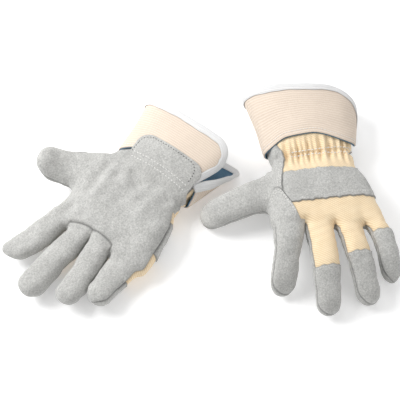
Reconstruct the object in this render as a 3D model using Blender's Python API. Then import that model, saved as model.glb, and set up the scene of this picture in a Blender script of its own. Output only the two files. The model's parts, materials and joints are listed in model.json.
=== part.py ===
"""A pair of leather-palmed gardening gloves with stiff safety cuffs, lying side by side.

The right-hand glove lies palm up and the left-hand glove lies palm down. Both are built by the same
functions in a glove frame: X runs from the wrist to the fingertips, the thumb is on the -Y side and
Z is up. Each glove hangs under an empty at its wrist, and each digit and cuff under an empty on its
own hinge. Angles round a section start at the little-finger side (0), pass over the back of the hand
(90), the thumb side (180) and the palm (270).
"""

import math

import bmesh
import bpy
from mathutils import Matrix, Vector

MM = 0.001

# Sheet materials
LEATHER = 1.4 * MM
DRILL = 1.0 * MM
CANVAS = 1.2 * MM
LINING = 0.8 * MM
TAPE = 1.0 * MM
GAP = 0.6 * MM
TAPE_GAP = 1.0 * MM
OVERLAY = GAP + LEATHER  # how far the outside of a sewn-on leather piece stands off the glove
TABLE_CLEARANCE = OVERLAY  # height of the glove's own skin where a sewn-on piece touches the table

# The hand, along X from the elastic at the wrist
WRIST_X = 0.0
KNUCKLE_X = 80 * MM
GATHER_X = -27 * MM
CUFF_NEAR_X = -22 * MM
CUFF_RIM_X = -76 * MM
PATCH_END_X = -41 * MM
STRAP_X = (20 * MM, 57 * MM)
INDEX_ROOT_X = (36 * MM, 77 * MM)
# The top edge of the index root, as an angle and how far it lies past the peak, in mm
INDEX_ROOT_TOP = ((116, 14), (132, 2), (144, 17), (156, 18), (168, 20), (174, 22))
PATCH_ON_CUFF = (238, 328)

# Where the seams run round a section, in degrees
LITTLE_SEAM = 12
THUMB_SEAM = 114
WRIST_SIDE_SEAM = 203
WRIST_PALM_SEAM = 338
FINGER_SEAM = 24
FACET = 12

# The slit in the cuff, and the tape folded over its edges and the rim
SLIT_HALF_NEAR = 2.2 * MM
TAPE_WIDTH = 7 * MM

# Joint limits, in degrees, positive towards the palm
FINGER_FLEX = 60
FINGER_EXTEND = 10
THUMB_FLEX = 50
WRIST_FLEX = 20

# Half sections: x, edge on the thumb side, edge on the little-finger side, half height
HAND_STATIONS = (
    (-27, -43, 47, 20.5),
    (0, -38, 42, 15.5),
    (22, -47, 48.5, 19.5),
    (50, -54, 55, 20.0),
    (80, -57, 57, 14.0),
)
CUFF_STATIONS = (
    (-76, -58, 63, 26.0),
    (-50, -52, 59, 25.0),
    (-22, -46, 52, 23.5),
)
HAND_POWER = 3.2
CUFF_POWER = 2.5
DIGIT_POWER = 2.4
TIP_ROUND = 14 * MM  # length of a digit's rounded end
FABRIC_LENGTH = {"middle": 42, "ring": 34, "little": 18}  # cotton on the finger's back before its tip
HALF_HEIGHTS = {
    "index": (13.0, 10.5),
    "middle": (13.2, 10.8),
    "ring": (13.0, 10.5),
    "little": (12.4, 10.0),
    "thumb": (14.0, 11.5),
}

# How each glove lies: centre heights along it, and its digits as hinge place (x, y), half widths at
# the root and the tip, length, sideways lean in degrees and the rise of the tip's centre
GLOVES = {
    "right": dict(
        palm_up=True,
        wrist=(-59.6, 14.1),
        yaw=234,
        hand_heights=((-27, 21.5), (0, 20), (22, 21), (50, 21), (80, 17.5)),
        cuff_heights=((-76, 24.5), (-50, 24.5), (-22, 24.0)),
        slit_half_rim=11,
        digits={
            "index": ((80, -49.0), (13.3, 13.2), 67, -15, 2),
            "middle": ((80, -21.8), (13.2, 13.0), 89, -2, 4),
            "ring": ((80, 4.7), (12.4, 12.0), 75, 6, 5),
            "little": ((80, 35.6), (17.5, 10.8), 56, 0, 4),
            "thumb": ((22, -45), (22.5, 15.0), 67, 0, 18),
        },
        thumb_turn=-66,
        thumb_height=24,
        mid_sag=3,
    ),
    "left": dict(
        palm_up=False,
        wrist=(115.4, 42.3),
        yaw=279,
        hand_heights=((-27, 24), (0, 24), (22, 25), (50, 28), (80, 30.5)),
        cuff_heights=((-76, 27.5), (-50, 26.0), (-22, 24.0)),
        slit_half_rim=8,
        digits={
            "index": ((80, -40.0), (15.8, 14.2), 62, -15, -20),
            "middle": ((80, -8.5), (15.2, 13.8), 91, -4, -20),
            "ring": ((80, 21.3), (14.2, 12.8), 85, 4, -20),
            "little": ((80, 46.6), (11.0, 10.8), 67, 9, -20),
            "thumb": ((30, -45), (19.5, 14.0), 82, 0, -11),
        },
        thumb_turn=-77,
        thumb_height=23.5,
        mid_sag=-4,
    ),
}

# name: (base colour, roughness)
MATERIALS = {
    "grey_leather": ((0.50, 0.50, 0.48), 0.95),
    "cream_drill": ((0.85, 0.68, 0.44), 0.9),
    "cuff_canvas": ((0.86, 0.72, 0.58), 0.85),
    "blue_lining": ((0.16, 0.27, 0.37), 0.8),
    "white_tape": ((0.88, 0.88, 0.88), 0.7),
    "palm_cotton": ((0.80, 0.78, 0.72), 0.95),
    "elastic": ((0.85, 0.84, 0.80), 0.8),
}


def smooth_value(rows, x):
    """The columns of rows at x, on a smooth curve through every row."""
    last = len(rows) - 1
    i = max(0, min(last - 1, sum(row[0] <= x for row in rows) - 1))
    low, high = rows[i], rows[i + 1]
    before, after = rows[max(0, i - 1)], rows[min(last, i + 2)]
    span = high[0] - low[0]
    t = max(0.0, min(1.0, (x - low[0]) / span))
    values = []
    for k in range(1, len(low)):
        slope_low = (high[k] - before[k]) / (high[0] - before[0]) * span
        slope_high = (after[k] - low[k]) / (after[0] - low[0]) * span
        rise = high[k] - low[k]
        values.append(
            low[k]
            + t * slope_low
            + t * t * (3 * rise - 2 * slope_low - slope_high)
            + t * t * t * (slope_low + slope_high - 2 * rise)
        )
    return values


def rounded(value, power):
    """A cosine or sine squared off for a superellipse of this power."""
    return math.copysign(abs(value) ** (2 / power), value)


def mix(a, b, t):
    return a + (b - a) * t


def steps(start, end, count):
    """count + 1 even values from start to end."""
    return [mix(start, end, i / count) for i in range(count + 1)]


def facets(start, end):
    """Angles from start to end, on facets that every layer of the glove shares."""
    first = math.ceil((start + 3) / FACET)
    last = math.floor((end - 3) / FACET)
    return [start] + [FACET * i for i in range(first, last + 1)] + [end]


class Tube:
    """The outside of the hand or of the cuff, as sections across X."""

    def __init__(self, stations, heights, power, back):
        self.stations = stations
        self.heights = heights
        self.power = power
        self.back = back  # +1 where the back of the hand is up, -1 where the palm is

    def half_height(self, x):
        return smooth_value(self.stations, x / MM)[2] * MM

    def depth(self, x, angle):
        """Height above the section's centre, towards the back of the hand."""
        return self.half_height(x) * rounded(math.sin(math.radians(angle)), self.power)

    def angle_at(self, x, depth):
        """The angle on the little-finger side where the surface is this far from mid height."""
        return math.degrees(math.asin((depth / self.half_height(x)) ** (self.power / 2)))

    def point(self, x, angle, out=0.0):
        """A point that stands out from the surface, or in the flat where it rests on the table."""
        low, high, half = smooth_value(self.stations, x / MM)
        turn = math.radians(angle)
        y = (high + low) / 2 * MM + ((high - low) / 2 * MM + out) * rounded(math.cos(turn), self.power)
        z = self.back * (half * MM + out) * rounded(math.sin(turn), self.power)
        z += smooth_value(self.heights, x / MM)[0] * MM
        return Vector((x, y, max(z, TABLE_CLEARANCE - out)))


class Digit:
    """A finger or thumb, as sections across its own length from its hinge."""

    def __init__(self, name, glove):
        (x, y), half_widths, length, lean, rise = glove["digits"][name]
        height, turn = smooth_value(glove["hand_heights"], x)[0], 0
        if name == "thumb":
            height, turn = glove["thumb_height"], glove["thumb_turn"]
        self.length = length * MM
        self.half_widths = [w * MM for w in half_widths]
        self.heights = [h * MM for h in HALF_HEIGHTS[name]]
        self.lean = math.tan(math.radians(lean))
        self.back = -1 if glove["palm_up"] else 1
        self.rise = rise * MM
        self.sag = glove["mid_sag"] * MM
        hinge = Matrix.Translation((x * MM, y * MM, height * MM))
        self.place = hinge @ Matrix.Rotation(math.radians(turn), 4, "Z")

    def point(self, x, round_off, angle, out=0.0):
        """A point of the surface in the glove's frame. round_off runs from 0 to 90 over the rounded end."""
        end = math.cos(math.radians(round_off))
        x += (TIP_ROUND + out) * math.sin(math.radians(round_off))
        along = x / self.length
        half_width = (mix(*self.half_widths, along) + out) * end
        half_height = (mix(*self.heights, along) + out) * end
        y = x * self.lean + half_width * rounded(math.cos(math.radians(angle)), DIGIT_POWER)
        z = self.rise * along * along - self.sag * math.sin(math.pi * along)
        z += self.back * half_height * rounded(math.sin(math.radians(angle)), DIGIT_POWER)
        spot = self.place @ Vector((x, y, z))
        spot.z = max(spot.z, -out)
        return spot

    def stations(self, start, count):
        """Pairs for point() from this x to the tip."""
        bend = self.length - TIP_ROUND
        return [(x, 0) for x in steps(start, bend, count)] + [(bend, angle) for angle in (35, 62, 90)]


def material(name):
    found = bpy.data.materials.get(name)
    if found:
        return found
    made = bpy.data.materials.new(name)
    made.use_nodes = True
    shader = made.node_tree.nodes["Principled BSDF"]
    colour, roughness = MATERIALS[name]
    shader.inputs["Base Color"].default_value = (*colour, 1)
    shader.inputs["Roughness"].default_value = roughness
    return made


def empty(name, parent, matrix):
    made = bpy.data.objects.new(name, None)
    bpy.context.scene.collection.objects.link(made)
    made.parent = parent
    made.matrix_local = matrix
    return made


def add_object(name, mesh, parent):
    obj = bpy.data.objects.new(name, mesh)
    bpy.context.scene.collection.objects.link(obj)
    obj.parent = parent
    return obj


def shell(name, outer, inner, finish, parent, origin):
    """A sheet of material between two grids of points in the glove's frame. origin is the parent's
    matrix in that frame."""
    made = bmesh.new()
    back = origin.inverted()
    top, under = ([[made.verts.new(back @ p) for p in row] for row in rows] for rows in (outer, inner))
    last, side = len(top) - 1, len(top[0]) - 1
    for i in range(last):
        for k in range(side):
            made.faces.new((top[i][k], top[i][k + 1], top[i + 1][k + 1], top[i + 1][k]))
            made.faces.new((under[i][k], under[i + 1][k], under[i + 1][k + 1], under[i][k + 1]))
        for k, (low, high) in ((0, (i, i + 1)), (side, (i + 1, i))):
            made.faces.new((top[low][k], top[high][k], under[high][k], under[low][k]))
    for k in range(side):
        for i, (low, high) in ((0, (k + 1, k)), (last, (k, k + 1))):
            made.faces.new((top[i][low], top[i][high], under[i][high], under[i][low]))
    bmesh.ops.remove_doubles(made, verts=made.verts, dist=1e-6)
    bmesh.ops.recalc_face_normals(made, faces=made.faces)
    mesh = bpy.data.meshes.new(name)
    made.to_mesh(mesh)
    made.free()
    mesh.materials.append(material(finish))
    mesh.shade_smooth()
    mesh.set_sharp_from_angle(angle=math.radians(50))
    return add_object(name, mesh, parent)


def knuckle_edge(depth, half_height):
    """How far short of the knuckle hinge the hand's shell ends, at this depth from the hinge."""
    if depth >= 0:
        return 0.9 * MM + depth * math.tan(math.radians(FINGER_EXTEND + 2))
    reach = half_height / math.cos(math.radians(FINGER_FLEX / 2)) + 1.2 * MM
    slope = -depth * math.tan(math.radians(FINGER_FLEX + 8))
    return 0.9 * MM + min(slope, math.sqrt(reach**2 - depth**2))


def wrist_edge(depth):
    """How far past the wrist hinge the hand's shell starts, at this depth from the hinge."""
    return 0.9 * MM + abs(depth) * math.tan(math.radians(WRIST_FLEX + 2))


def hand_piece(hand, name, angles, count, outs, trim, finish, parent):
    """A stretch of the hand's shell from wrist to knuckles, ended so that the fingers and cuff can turn.
    angles gives the row of angles at a share along the hand, and outs its two faces."""
    grids = ([], [])
    for u in steps(0, 1, count):
        for grid, out in zip(grids, outs):
            row = []
            for angle in angles(u):
                start = wrist_edge(hand.depth(WRIST_X, angle)) + trim
                end = KNUCKLE_X - trim
                end -= knuckle_edge(hand.depth(KNUCKLE_X, angle), hand.half_height(KNUCKLE_X))
                row.append(hand.point(mix(start, end, u), angle, out))
            grid.append(row)
    return shell(name, *grids, finish, parent, Matrix.Identity(4))


def little_seam(u):
    """The little-finger side seam starts under the wrist and climbs to the hand's edge."""
    return mix(WRIST_PALM_SEAM - 360, LITTLE_SEAM, min(1.0, u * 3.5))


def thumb_cutter(side, glove_empty, thumb):
    """A prism along the thumb's hinge that holds all that the thumb sweeps inside the hand's shell."""
    half = thumb.half_widths[0] + 1.5 * MM
    corners = []
    for turn, sign, reach in ((FINGER_EXTEND + 2, 1, 50 * MM), (THUMB_FLEX + 2, -1, 60 * MM)):
        sine, cosine = math.sin(math.radians(turn)), math.cos(math.radians(turn))
        radius = thumb.heights[0] + 1.2 * MM
        near = Vector((-radius * sine, 0, sign * radius * cosine * thumb.back))
        far = near + reach * Vector((cosine, 0, sign * sine * thumb.back))
        corners += [near, far] if sign > 0 else [far, near]
    made = bmesh.new()
    ends = [[made.verts.new(p + Vector((0, y, 0))) for p in corners] for y in (-half, half)]
    for verts in (ends[0], ends[1]):
        made.faces.new(verts)
    for i in range(4):
        made.faces.new((ends[0][i - 1], ends[0][i], ends[1][i], ends[1][i - 1]))
    bmesh.ops.recalc_face_normals(made, faces=made.faces)
    mesh = bpy.data.meshes.new(f"{side}_thumb_cutter")
    made.to_mesh(mesh)
    made.free()
    cutter = add_object(f"{side}_thumb_cutter", mesh, glove_empty)
    cutter.matrix_local = thumb.place
    cutter.hide_render = True
    cutter.display_type = "WIRE"
    return cutter


def cut(obj, cutter):
    boolean = obj.modifiers.new("Thumb hole", "BOOLEAN")
    boolean.operation = "DIFFERENCE"
    boolean.solver = "EXACT"
    boolean.object = cutter


def overlay(hand, name, rows, parent):
    """A leather piece sewn onto the hand, from rows of places as x and angle."""
    grids = [[[hand.point(x, angle, out) for x, angle in row] for row in rows] for out in (OVERLAY, GAP)]
    shell(name, *grids, "grey_leather", parent, Matrix.Identity(4))


def build_hand(side, hand, glove_empty, thumb):
    """The shell of the palm and back, which the digits and the cuff are hinged to."""
    cutter = thumb_cutter(side, glove_empty, thumb)

    def palm_row(u):
        return [THUMB_SEAM + 0.5] + facets(132, 336) + [360 + little_seam(u) - 0.5]

    def back_row(u):
        return [little_seam(u) + 0.5] + facets(24, THUMB_SEAM - 0.5)

    def lining_row(u):
        return facets(204, 336)

    name = f"{side}_palm_leather"
    palm = hand_piece(hand, name, palm_row, 9, (0, -LEATHER), 0, "grey_leather", glove_empty)
    cut(palm, cutter)
    top = -(LEATHER + GAP)
    name = f"{side}_palm_lining"
    lining = hand_piece(hand, name, lining_row, 6, (top, top - LINING), 1.5 * MM, "palm_cotton", glove_empty)
    cut(lining, cutter)
    name = f"{side}_back_drill"
    hand_piece(hand, name, back_row, 9, (0, -DRILL), 0, "cream_drill", glove_empty)

    strap = facets(LITTLE_SEAM + 3, THUMB_SEAM - 1.5)
    rows = [[(x, angle) for angle in strap] for x in steps(*STRAP_X, 4)]
    overlay(hand, f"{side}_knuckle_strap", rows, glove_empty)
    rows = []
    peak, end = INDEX_ROOT_X
    for u in steps(0, 1, 5):
        row = [(mix(peak + rise * MM, end, u), angle) for angle, rise in INDEX_ROOT_TOP]
        row[0] = (row[0][0], mix(row[0][1], THUMB_SEAM - 10, max(0.0, u - 0.4) / 0.6))
        rows.append(row)
    overlay(hand, f"{side}_index_root", rows, glove_empty)


class Cuff:
    """The shapes that the cuff's pieces share: the cuff itself, its slit and the gathered wrist in it."""

    def __init__(self, hand, tube, slit_half_rim):
        self.hand = hand
        self.tube = tube
        self.slit_half_rim = slit_half_rim

    def slit(self, x, inset=0.0):
        """The angle of the slit's edge, or of a line this far inside it."""
        t = (CUFF_NEAR_X - x) / (CUFF_NEAR_X - CUFF_RIM_X)
        return self.tube.angle_at(x, mix(SLIT_HALF_NEAR, self.slit_half_rim, max(0.0, t) ** 2) + inset)

    def row(self, x, rim_inset=0.0):
        """Angles across the cuff from one edge of the slit to the other."""
        edge, hem = self.slit(x, rim_inset), self.slit(x, TAPE_WIDTH)
        return [edge, hem] + facets(48, 312) + [360 - hem, 360 - edge]

    def wrist(self, x, angle, out=0.0):
        """The wrist narrows from inside the cuff to the elastic."""
        inside = -(CANVAS + LINING + TAPE + 2 * GAP + 2 * TAPE_GAP)
        t = min(1.0, max(0.0, x / CUFF_NEAR_X))
        start = self.hand.point(x, angle, out)
        return start.lerp(self.tube.point(x, angle, inside + out), t * t * (3 - 2 * t))

    def patch(self, x, angle, out):
        """The patch leaves the wrist and lies on the outside of the cuff."""
        t = min(1.0, max(0.0, x / CUFF_NEAR_X))
        start = self.hand.point(x, angle, out - OVERLAY)
        return start.lerp(self.tube.point(x, angle, out), t * t * (3 - 2 * t))


def build_cuff(side, cuff, cuff_empty, origin):
    """The stiff cuff and the gathered wrist that it is sewn to. They turn together at the elastic."""
    tube = cuff.tube
    hem_x = CUFF_RIM_X + TAPE_WIDTH

    def cuff_rows(out, inset):
        stations = steps(CUFF_NEAR_X, hem_x, 4) + [CUFF_RIM_X + inset]
        return [[tube.point(x, angle, out) for angle in cuff.row(x, inset)] for x in stations]

    def wrist_piece(name, start, end, angles, outs, finish):
        stations = steps(start, end, 3)
        grids = [[[cuff.wrist(x, angle, out) for angle in angles] for x in stations] for out in outs]
        shell(f"{side}_{name}", *grids, finish, cuff_empty, origin)

    grids = (cuff_rows(0, 0), cuff_rows(-CANVAS, 0))
    shell(f"{side}_cuff_canvas", *grids, "cuff_canvas", cuff_empty, origin)
    top = -(CANVAS + GAP)
    grids = (cuff_rows(top, 0.3 * MM), cuff_rows(top - LINING, 0.3 * MM))
    shell(f"{side}_cuff_lining", *grids, "blue_lining", cuff_empty, origin)
    build_binding(side, cuff, cuff_empty, origin)

    back = facets(WRIST_PALM_SEAM - 359, THUMB_SEAM - 0.5)
    wrist_piece("wrist_drill", WRIST_X, GATHER_X, back, (0, -DRILL), "cream_drill")
    thumb_side = facets(THUMB_SEAM + 0.5, WRIST_SIDE_SEAM)
    wrist_piece("wrist_leather", WRIST_X, GATHER_X, thumb_side, (0, -LEATHER), "grey_leather")
    top = -(DRILL + GAP)
    elastic = facets(20, THUMB_SEAM - 8)
    wrist_piece("wrist_elastic", -2 * MM, -9 * MM, elastic, (top, top - 1.2 * MM), "elastic")

    grids = ([], [])
    for u in steps(0, 1, 8):
        x = mix(WRIST_X, PATCH_END_X, u)
        t = min(1.0, x / CUFF_NEAR_X)
        over = t * t * (3 - 2 * t)
        corner = max(0.0, (u - 0.72) / 0.28)
        inset = 18 * (1 - math.sqrt(1 - corner * corner))
        start = mix(WRIST_SIDE_SEAM + 1.2, PATCH_ON_CUFF[0], over) + inset
        angles = steps(start, mix(WRIST_PALM_SEAM - 1, PATCH_ON_CUFF[1], over) - inset, 14)
        for grid, out in zip(grids, (OVERLAY, GAP)):
            grid.append([cuff.patch(x, angle, out) for angle in angles])
    shell(f"{side}_pulse_patch", *grids, "grey_leather", cuff_empty, origin)


def build_binding(side, cuff, cuff_empty, origin):
    """One tape folded over the edge of the canvas and lining, up one side of the slit, round the rim
    and down the other side."""
    tube = cuff.tube
    inside = -(CANVAS + LINING + GAP + TAPE_GAP)
    grids = ([], [])
    for grid, thick in zip(grids, (TAPE, 0)):
        over, under, fold = TAPE_GAP + thick, inside - thick, -GAP - thick
        profile = ((TAPE_WIDTH, over), (fold, over), (fold, under), (TAPE_WIDTH, under))
        rows = []
        for x in [CUFF_NEAR_X - 1 * MM] + steps(CUFF_NEAR_X, CUFF_RIM_X + TAPE_WIDTH, 4)[1:]:
            rows.append([(x, cuff.slit(x, along), out) for along, out in profile])
        corner = [(CUFF_RIM_X + along, out) for along, out in profile]
        rows.append([(x, cuff.slit(x, x - CUFF_RIM_X), out) for x, out in corner])
        hem = cuff.slit(CUFF_RIM_X + TAPE_WIDTH, TAPE_WIDTH)
        rim = [hem] + facets(48, 312) + [360 - hem]
        mirrored = [[(x, 360 - angle, out) for x, angle, out in row] for row in reversed(rows)]
        rows += [[(x, angle, out) for x, out in corner] for angle in rim]
        grid.extend([tube.point(*spot) for spot in row] for row in rows + mirrored)
    shell(f"{side}_cuff_binding", *grids, "white_tape", cuff_empty, origin)


def build_digit(side, name, digit, digit_empty):
    """The leather front of a finger or thumb, which wraps its sides, and what closes its back."""
    part = Vector((0, 0, digit.back * 0.6 * GAP))

    def piece(label, stations, angles, shift, thickness, finish):
        grids = [
            [[digit.point(x, end, angle, out) + shift for angle in angles] for x, end in stations]
            for out in (0, -thickness)
        ]
        shell(f"{side}_{name}_{label}", *grids, finish, digit_empty, digit.place)

    around = steps(180 - FINGER_SEAM, 360 + FINGER_SEAM, 10)
    piece("front", digit.stations(0, 5), around, -part, LEATHER, "grey_leather")
    over = steps(FINGER_SEAM, 180 - FINGER_SEAM, 5)
    fabric = FABRIC_LENGTH.get(name)
    if fabric is None:
        piece("back", digit.stations(0, 4), over, part, LEATHER, "grey_leather")
        return
    cotton = [(x, 0) for x in steps(0, fabric * MM, 3)]
    piece("back_drill", cotton, over, part, DRILL, "cream_drill")
    piece("tip", digit.stations(fabric * MM + GAP, 3), over, part, LEATHER, "grey_leather")


def build_glove(side, glove):
    wrist = Vector((glove["wrist"][0] * MM, glove["wrist"][1] * MM, 0))
    turn = Matrix.Rotation(math.radians(glove["yaw"]), 4, "Z")
    glove_empty = empty(f"{side}_glove", None, Matrix.Translation(wrist) @ turn)
    digits = {name: Digit(name, glove) for name in HALF_HEIGHTS}
    for name, digit in digits.items():
        build_digit(side, name, digit, empty(f"{side}_{name}_hinge", glove_empty, digit.place))
    back = -1 if glove["palm_up"] else 1
    hand = Tube(HAND_STATIONS, glove["hand_heights"], HAND_POWER, back)
    build_hand(side, hand, glove_empty, digits["thumb"])
    wrist_height = smooth_value(glove["hand_heights"], WRIST_X)[0] * MM
    origin = Matrix.Translation((WRIST_X, 0, wrist_height))
    cuff_empty = empty(f"{side}_wrist_hinge", glove_empty, origin)
    tube = Tube(CUFF_STATIONS, glove["cuff_heights"], CUFF_POWER, back)
    cuff = Cuff(hand, tube, glove["slit_half_rim"] * MM)
    build_cuff(side, cuff, cuff_empty, origin)


def main():
    for old in list(bpy.data.objects):
        bpy.data.objects.remove(old)
    for side, glove in GLOVES.items():
        build_glove(side, glove)


main()
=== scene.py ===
"""The looks of a pair of leather-palmed gardening gloves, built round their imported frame.

The right-hand glove lies palm up and the left-hand glove palm down. Every shape is made in millimetres
in a glove frame, as in the CAD: X runs from the elastic at the wrist (0) to the fingertips, the thumb is
on the -Y side and Z is up from the table. Each glove's skin is one smooth surface round its hand and
digits. It is divided along its seams into panels, and each panel becomes a piece with its own thickness.
"""

import json
import math
from functools import partial

import bpy
import numpy as np
from mathutils import Vector
from mathutils.bvhtree import BVHTree
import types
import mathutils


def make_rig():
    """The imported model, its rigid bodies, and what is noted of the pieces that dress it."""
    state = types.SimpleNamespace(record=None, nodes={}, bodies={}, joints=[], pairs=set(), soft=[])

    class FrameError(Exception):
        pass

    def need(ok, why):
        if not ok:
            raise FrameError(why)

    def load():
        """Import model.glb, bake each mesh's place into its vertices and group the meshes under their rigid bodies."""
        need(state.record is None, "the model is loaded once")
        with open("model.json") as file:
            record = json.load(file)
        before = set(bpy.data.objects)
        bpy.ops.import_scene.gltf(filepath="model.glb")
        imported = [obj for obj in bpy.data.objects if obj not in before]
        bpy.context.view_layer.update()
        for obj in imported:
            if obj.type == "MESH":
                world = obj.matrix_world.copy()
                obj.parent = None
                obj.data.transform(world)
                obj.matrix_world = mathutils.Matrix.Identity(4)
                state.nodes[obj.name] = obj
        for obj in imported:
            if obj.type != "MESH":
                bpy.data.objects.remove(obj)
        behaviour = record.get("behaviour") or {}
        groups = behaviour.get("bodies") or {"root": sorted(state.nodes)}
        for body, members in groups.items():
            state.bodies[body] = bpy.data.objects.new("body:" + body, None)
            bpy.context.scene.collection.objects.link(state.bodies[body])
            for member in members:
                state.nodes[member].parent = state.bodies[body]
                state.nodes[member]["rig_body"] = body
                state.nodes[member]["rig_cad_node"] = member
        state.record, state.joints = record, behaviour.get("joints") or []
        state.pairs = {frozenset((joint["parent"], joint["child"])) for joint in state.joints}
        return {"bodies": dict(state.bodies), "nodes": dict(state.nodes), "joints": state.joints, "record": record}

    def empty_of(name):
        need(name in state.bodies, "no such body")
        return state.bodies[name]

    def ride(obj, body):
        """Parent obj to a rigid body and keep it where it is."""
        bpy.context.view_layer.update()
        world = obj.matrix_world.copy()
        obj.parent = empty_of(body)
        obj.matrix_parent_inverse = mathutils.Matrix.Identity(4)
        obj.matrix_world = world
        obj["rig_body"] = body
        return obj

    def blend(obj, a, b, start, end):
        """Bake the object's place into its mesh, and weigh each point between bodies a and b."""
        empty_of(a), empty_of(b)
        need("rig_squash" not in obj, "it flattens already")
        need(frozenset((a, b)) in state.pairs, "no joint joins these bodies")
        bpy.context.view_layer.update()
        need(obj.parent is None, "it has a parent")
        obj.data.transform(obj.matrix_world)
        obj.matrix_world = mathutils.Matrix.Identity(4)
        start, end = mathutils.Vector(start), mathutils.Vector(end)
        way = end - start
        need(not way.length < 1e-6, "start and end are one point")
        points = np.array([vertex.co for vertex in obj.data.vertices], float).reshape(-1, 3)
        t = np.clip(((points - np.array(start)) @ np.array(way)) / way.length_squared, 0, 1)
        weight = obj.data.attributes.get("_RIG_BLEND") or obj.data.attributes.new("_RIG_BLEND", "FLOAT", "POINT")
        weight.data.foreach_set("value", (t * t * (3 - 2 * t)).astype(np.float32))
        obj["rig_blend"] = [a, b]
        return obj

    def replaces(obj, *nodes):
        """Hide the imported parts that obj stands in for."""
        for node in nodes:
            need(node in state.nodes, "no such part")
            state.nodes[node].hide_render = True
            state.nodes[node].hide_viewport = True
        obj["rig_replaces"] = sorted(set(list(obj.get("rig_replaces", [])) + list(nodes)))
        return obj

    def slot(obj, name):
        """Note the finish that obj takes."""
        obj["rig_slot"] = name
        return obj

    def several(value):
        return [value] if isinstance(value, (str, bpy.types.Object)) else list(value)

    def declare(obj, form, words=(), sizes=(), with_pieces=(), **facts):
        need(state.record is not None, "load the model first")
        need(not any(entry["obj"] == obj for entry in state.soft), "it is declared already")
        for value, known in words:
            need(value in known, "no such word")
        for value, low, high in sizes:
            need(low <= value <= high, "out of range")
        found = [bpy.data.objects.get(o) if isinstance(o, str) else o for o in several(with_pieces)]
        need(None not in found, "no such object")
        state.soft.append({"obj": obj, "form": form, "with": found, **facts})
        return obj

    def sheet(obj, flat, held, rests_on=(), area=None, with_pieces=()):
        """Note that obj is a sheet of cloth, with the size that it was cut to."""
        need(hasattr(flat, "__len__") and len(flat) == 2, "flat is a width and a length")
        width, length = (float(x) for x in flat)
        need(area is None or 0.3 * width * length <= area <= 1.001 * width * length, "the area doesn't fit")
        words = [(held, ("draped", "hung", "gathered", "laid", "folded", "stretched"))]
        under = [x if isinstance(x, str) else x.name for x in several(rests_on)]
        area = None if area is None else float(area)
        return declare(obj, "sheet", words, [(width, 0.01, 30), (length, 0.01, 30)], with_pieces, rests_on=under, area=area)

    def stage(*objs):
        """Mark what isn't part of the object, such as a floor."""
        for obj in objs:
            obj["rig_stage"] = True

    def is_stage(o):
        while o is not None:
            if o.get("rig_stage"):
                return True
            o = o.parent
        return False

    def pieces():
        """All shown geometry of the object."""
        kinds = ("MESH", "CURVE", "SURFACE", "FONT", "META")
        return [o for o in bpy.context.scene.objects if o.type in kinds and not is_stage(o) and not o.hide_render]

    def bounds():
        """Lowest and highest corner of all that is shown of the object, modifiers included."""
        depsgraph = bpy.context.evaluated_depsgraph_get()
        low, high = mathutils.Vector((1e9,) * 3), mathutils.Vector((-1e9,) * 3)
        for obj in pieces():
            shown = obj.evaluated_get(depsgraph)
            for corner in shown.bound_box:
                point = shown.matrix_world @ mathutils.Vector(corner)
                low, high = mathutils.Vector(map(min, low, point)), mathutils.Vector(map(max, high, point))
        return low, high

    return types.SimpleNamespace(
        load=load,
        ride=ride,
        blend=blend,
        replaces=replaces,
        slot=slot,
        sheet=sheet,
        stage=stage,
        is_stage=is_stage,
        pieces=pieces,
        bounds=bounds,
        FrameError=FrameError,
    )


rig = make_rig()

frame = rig.load()
CAD_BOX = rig.bounds()

MM = 0.001
CELL = 1.3  # spacing of the grid that a glove's skin is found on
GRID_LOW, GRID_HIGH = (-48.0, -138.0, -3.0), (186.0, 76.0, 60.0)  # its corners
GRID_BLOCK = 12  # layers of the grid worked out at once
RELAX_ROUNDS, RELAX_SHARE = 4, 0.6  # how much the found surface is evened out
SNAP = 0.12  # a point this close to a seam is moved onto it

LEATHER, DRILL, CANVAS, LINING, COTTON, ELASTIC = 1.4, 1.0, 1.2, 0.8, 0.8, 1.0
THICKNESS = {"grey_leather": LEATHER, "cream_drill": DRILL, "palm_cotton": COTTON, "elastic": ELASTIC}
PROUD = 1.9  # how far the palm's tongue stands off the cuff

# The hand's half sections: x, edge on the thumb side, edge on the little-finger side, half height
HAND_STATIONS = (
    (-50, -43.4, 49.4, 20.4),
    (-22, -43.4, 49.4, 20.7),
    (-11, -41.5, 46, 17.8),
    (0, -40, 43, 15.2),
    (22, -47, 49, 19.5),
    (50, -54, 55.5, 20.0),
    (80, -56.5, 57, 14.0),
)
CUFF_STATIONS = ((-80, -59, 64, 26.5), (-50, -52, 59, 25.5), (-22, -48, 52, 23.5))
HAND_POWER, DIGIT_POWER = 3.2, 2.4
CUFF_NEAR_X, CUFF_RIM_X = -22.0, -80.0
WRIST_END_X = -27.0  # how far the gathered wrist reaches into the cuff
WRIST_CUT_X = 11.0  # the wrist bends between here and the same distance on the cuff side
TIP_ROUND, ROOT_ROUND = 13.0, 12.0  # the lengths over which a digit closes at its ends
ROOT_DEPTH = 22.0  # how far a digit's own shape runs back into the hand
FINGERS = ("index", "middle", "ring", "little")
FABRIC_LENGTH = {"middle": 48, "ring": 38, "little": 19}
HALF_HEIGHTS = {
    "index": (13.0, 10.5),
    "middle": (13.2, 10.8),
    "ring": (13.0, 10.5),
    "little": (12.4, 10.0),
    "thumb": (14.0, 11.5),
}
STRAP_X, STRAP_TILT = (20.0, 57.0), 0.045
FINGER_BEND, THUMB_BEND = 22.0, 26.0  # how much of a digit turns gradually past its root
WRIST_Z, DIGIT_Z = 21, 20  # the height that these bends are set out at
EDGE = 0.8  # how far past its seam a sewn-on edge has risen
# a seam distance beyond the reach of the painted seam shade
FAR_FROM_SEAM = 9.0
TAPE_WIDTH = 7.0
SLIT_TURN = (31.0, -4.0)  # degrees from the little-finger edge towards the palm, at the wrist and rim

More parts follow.
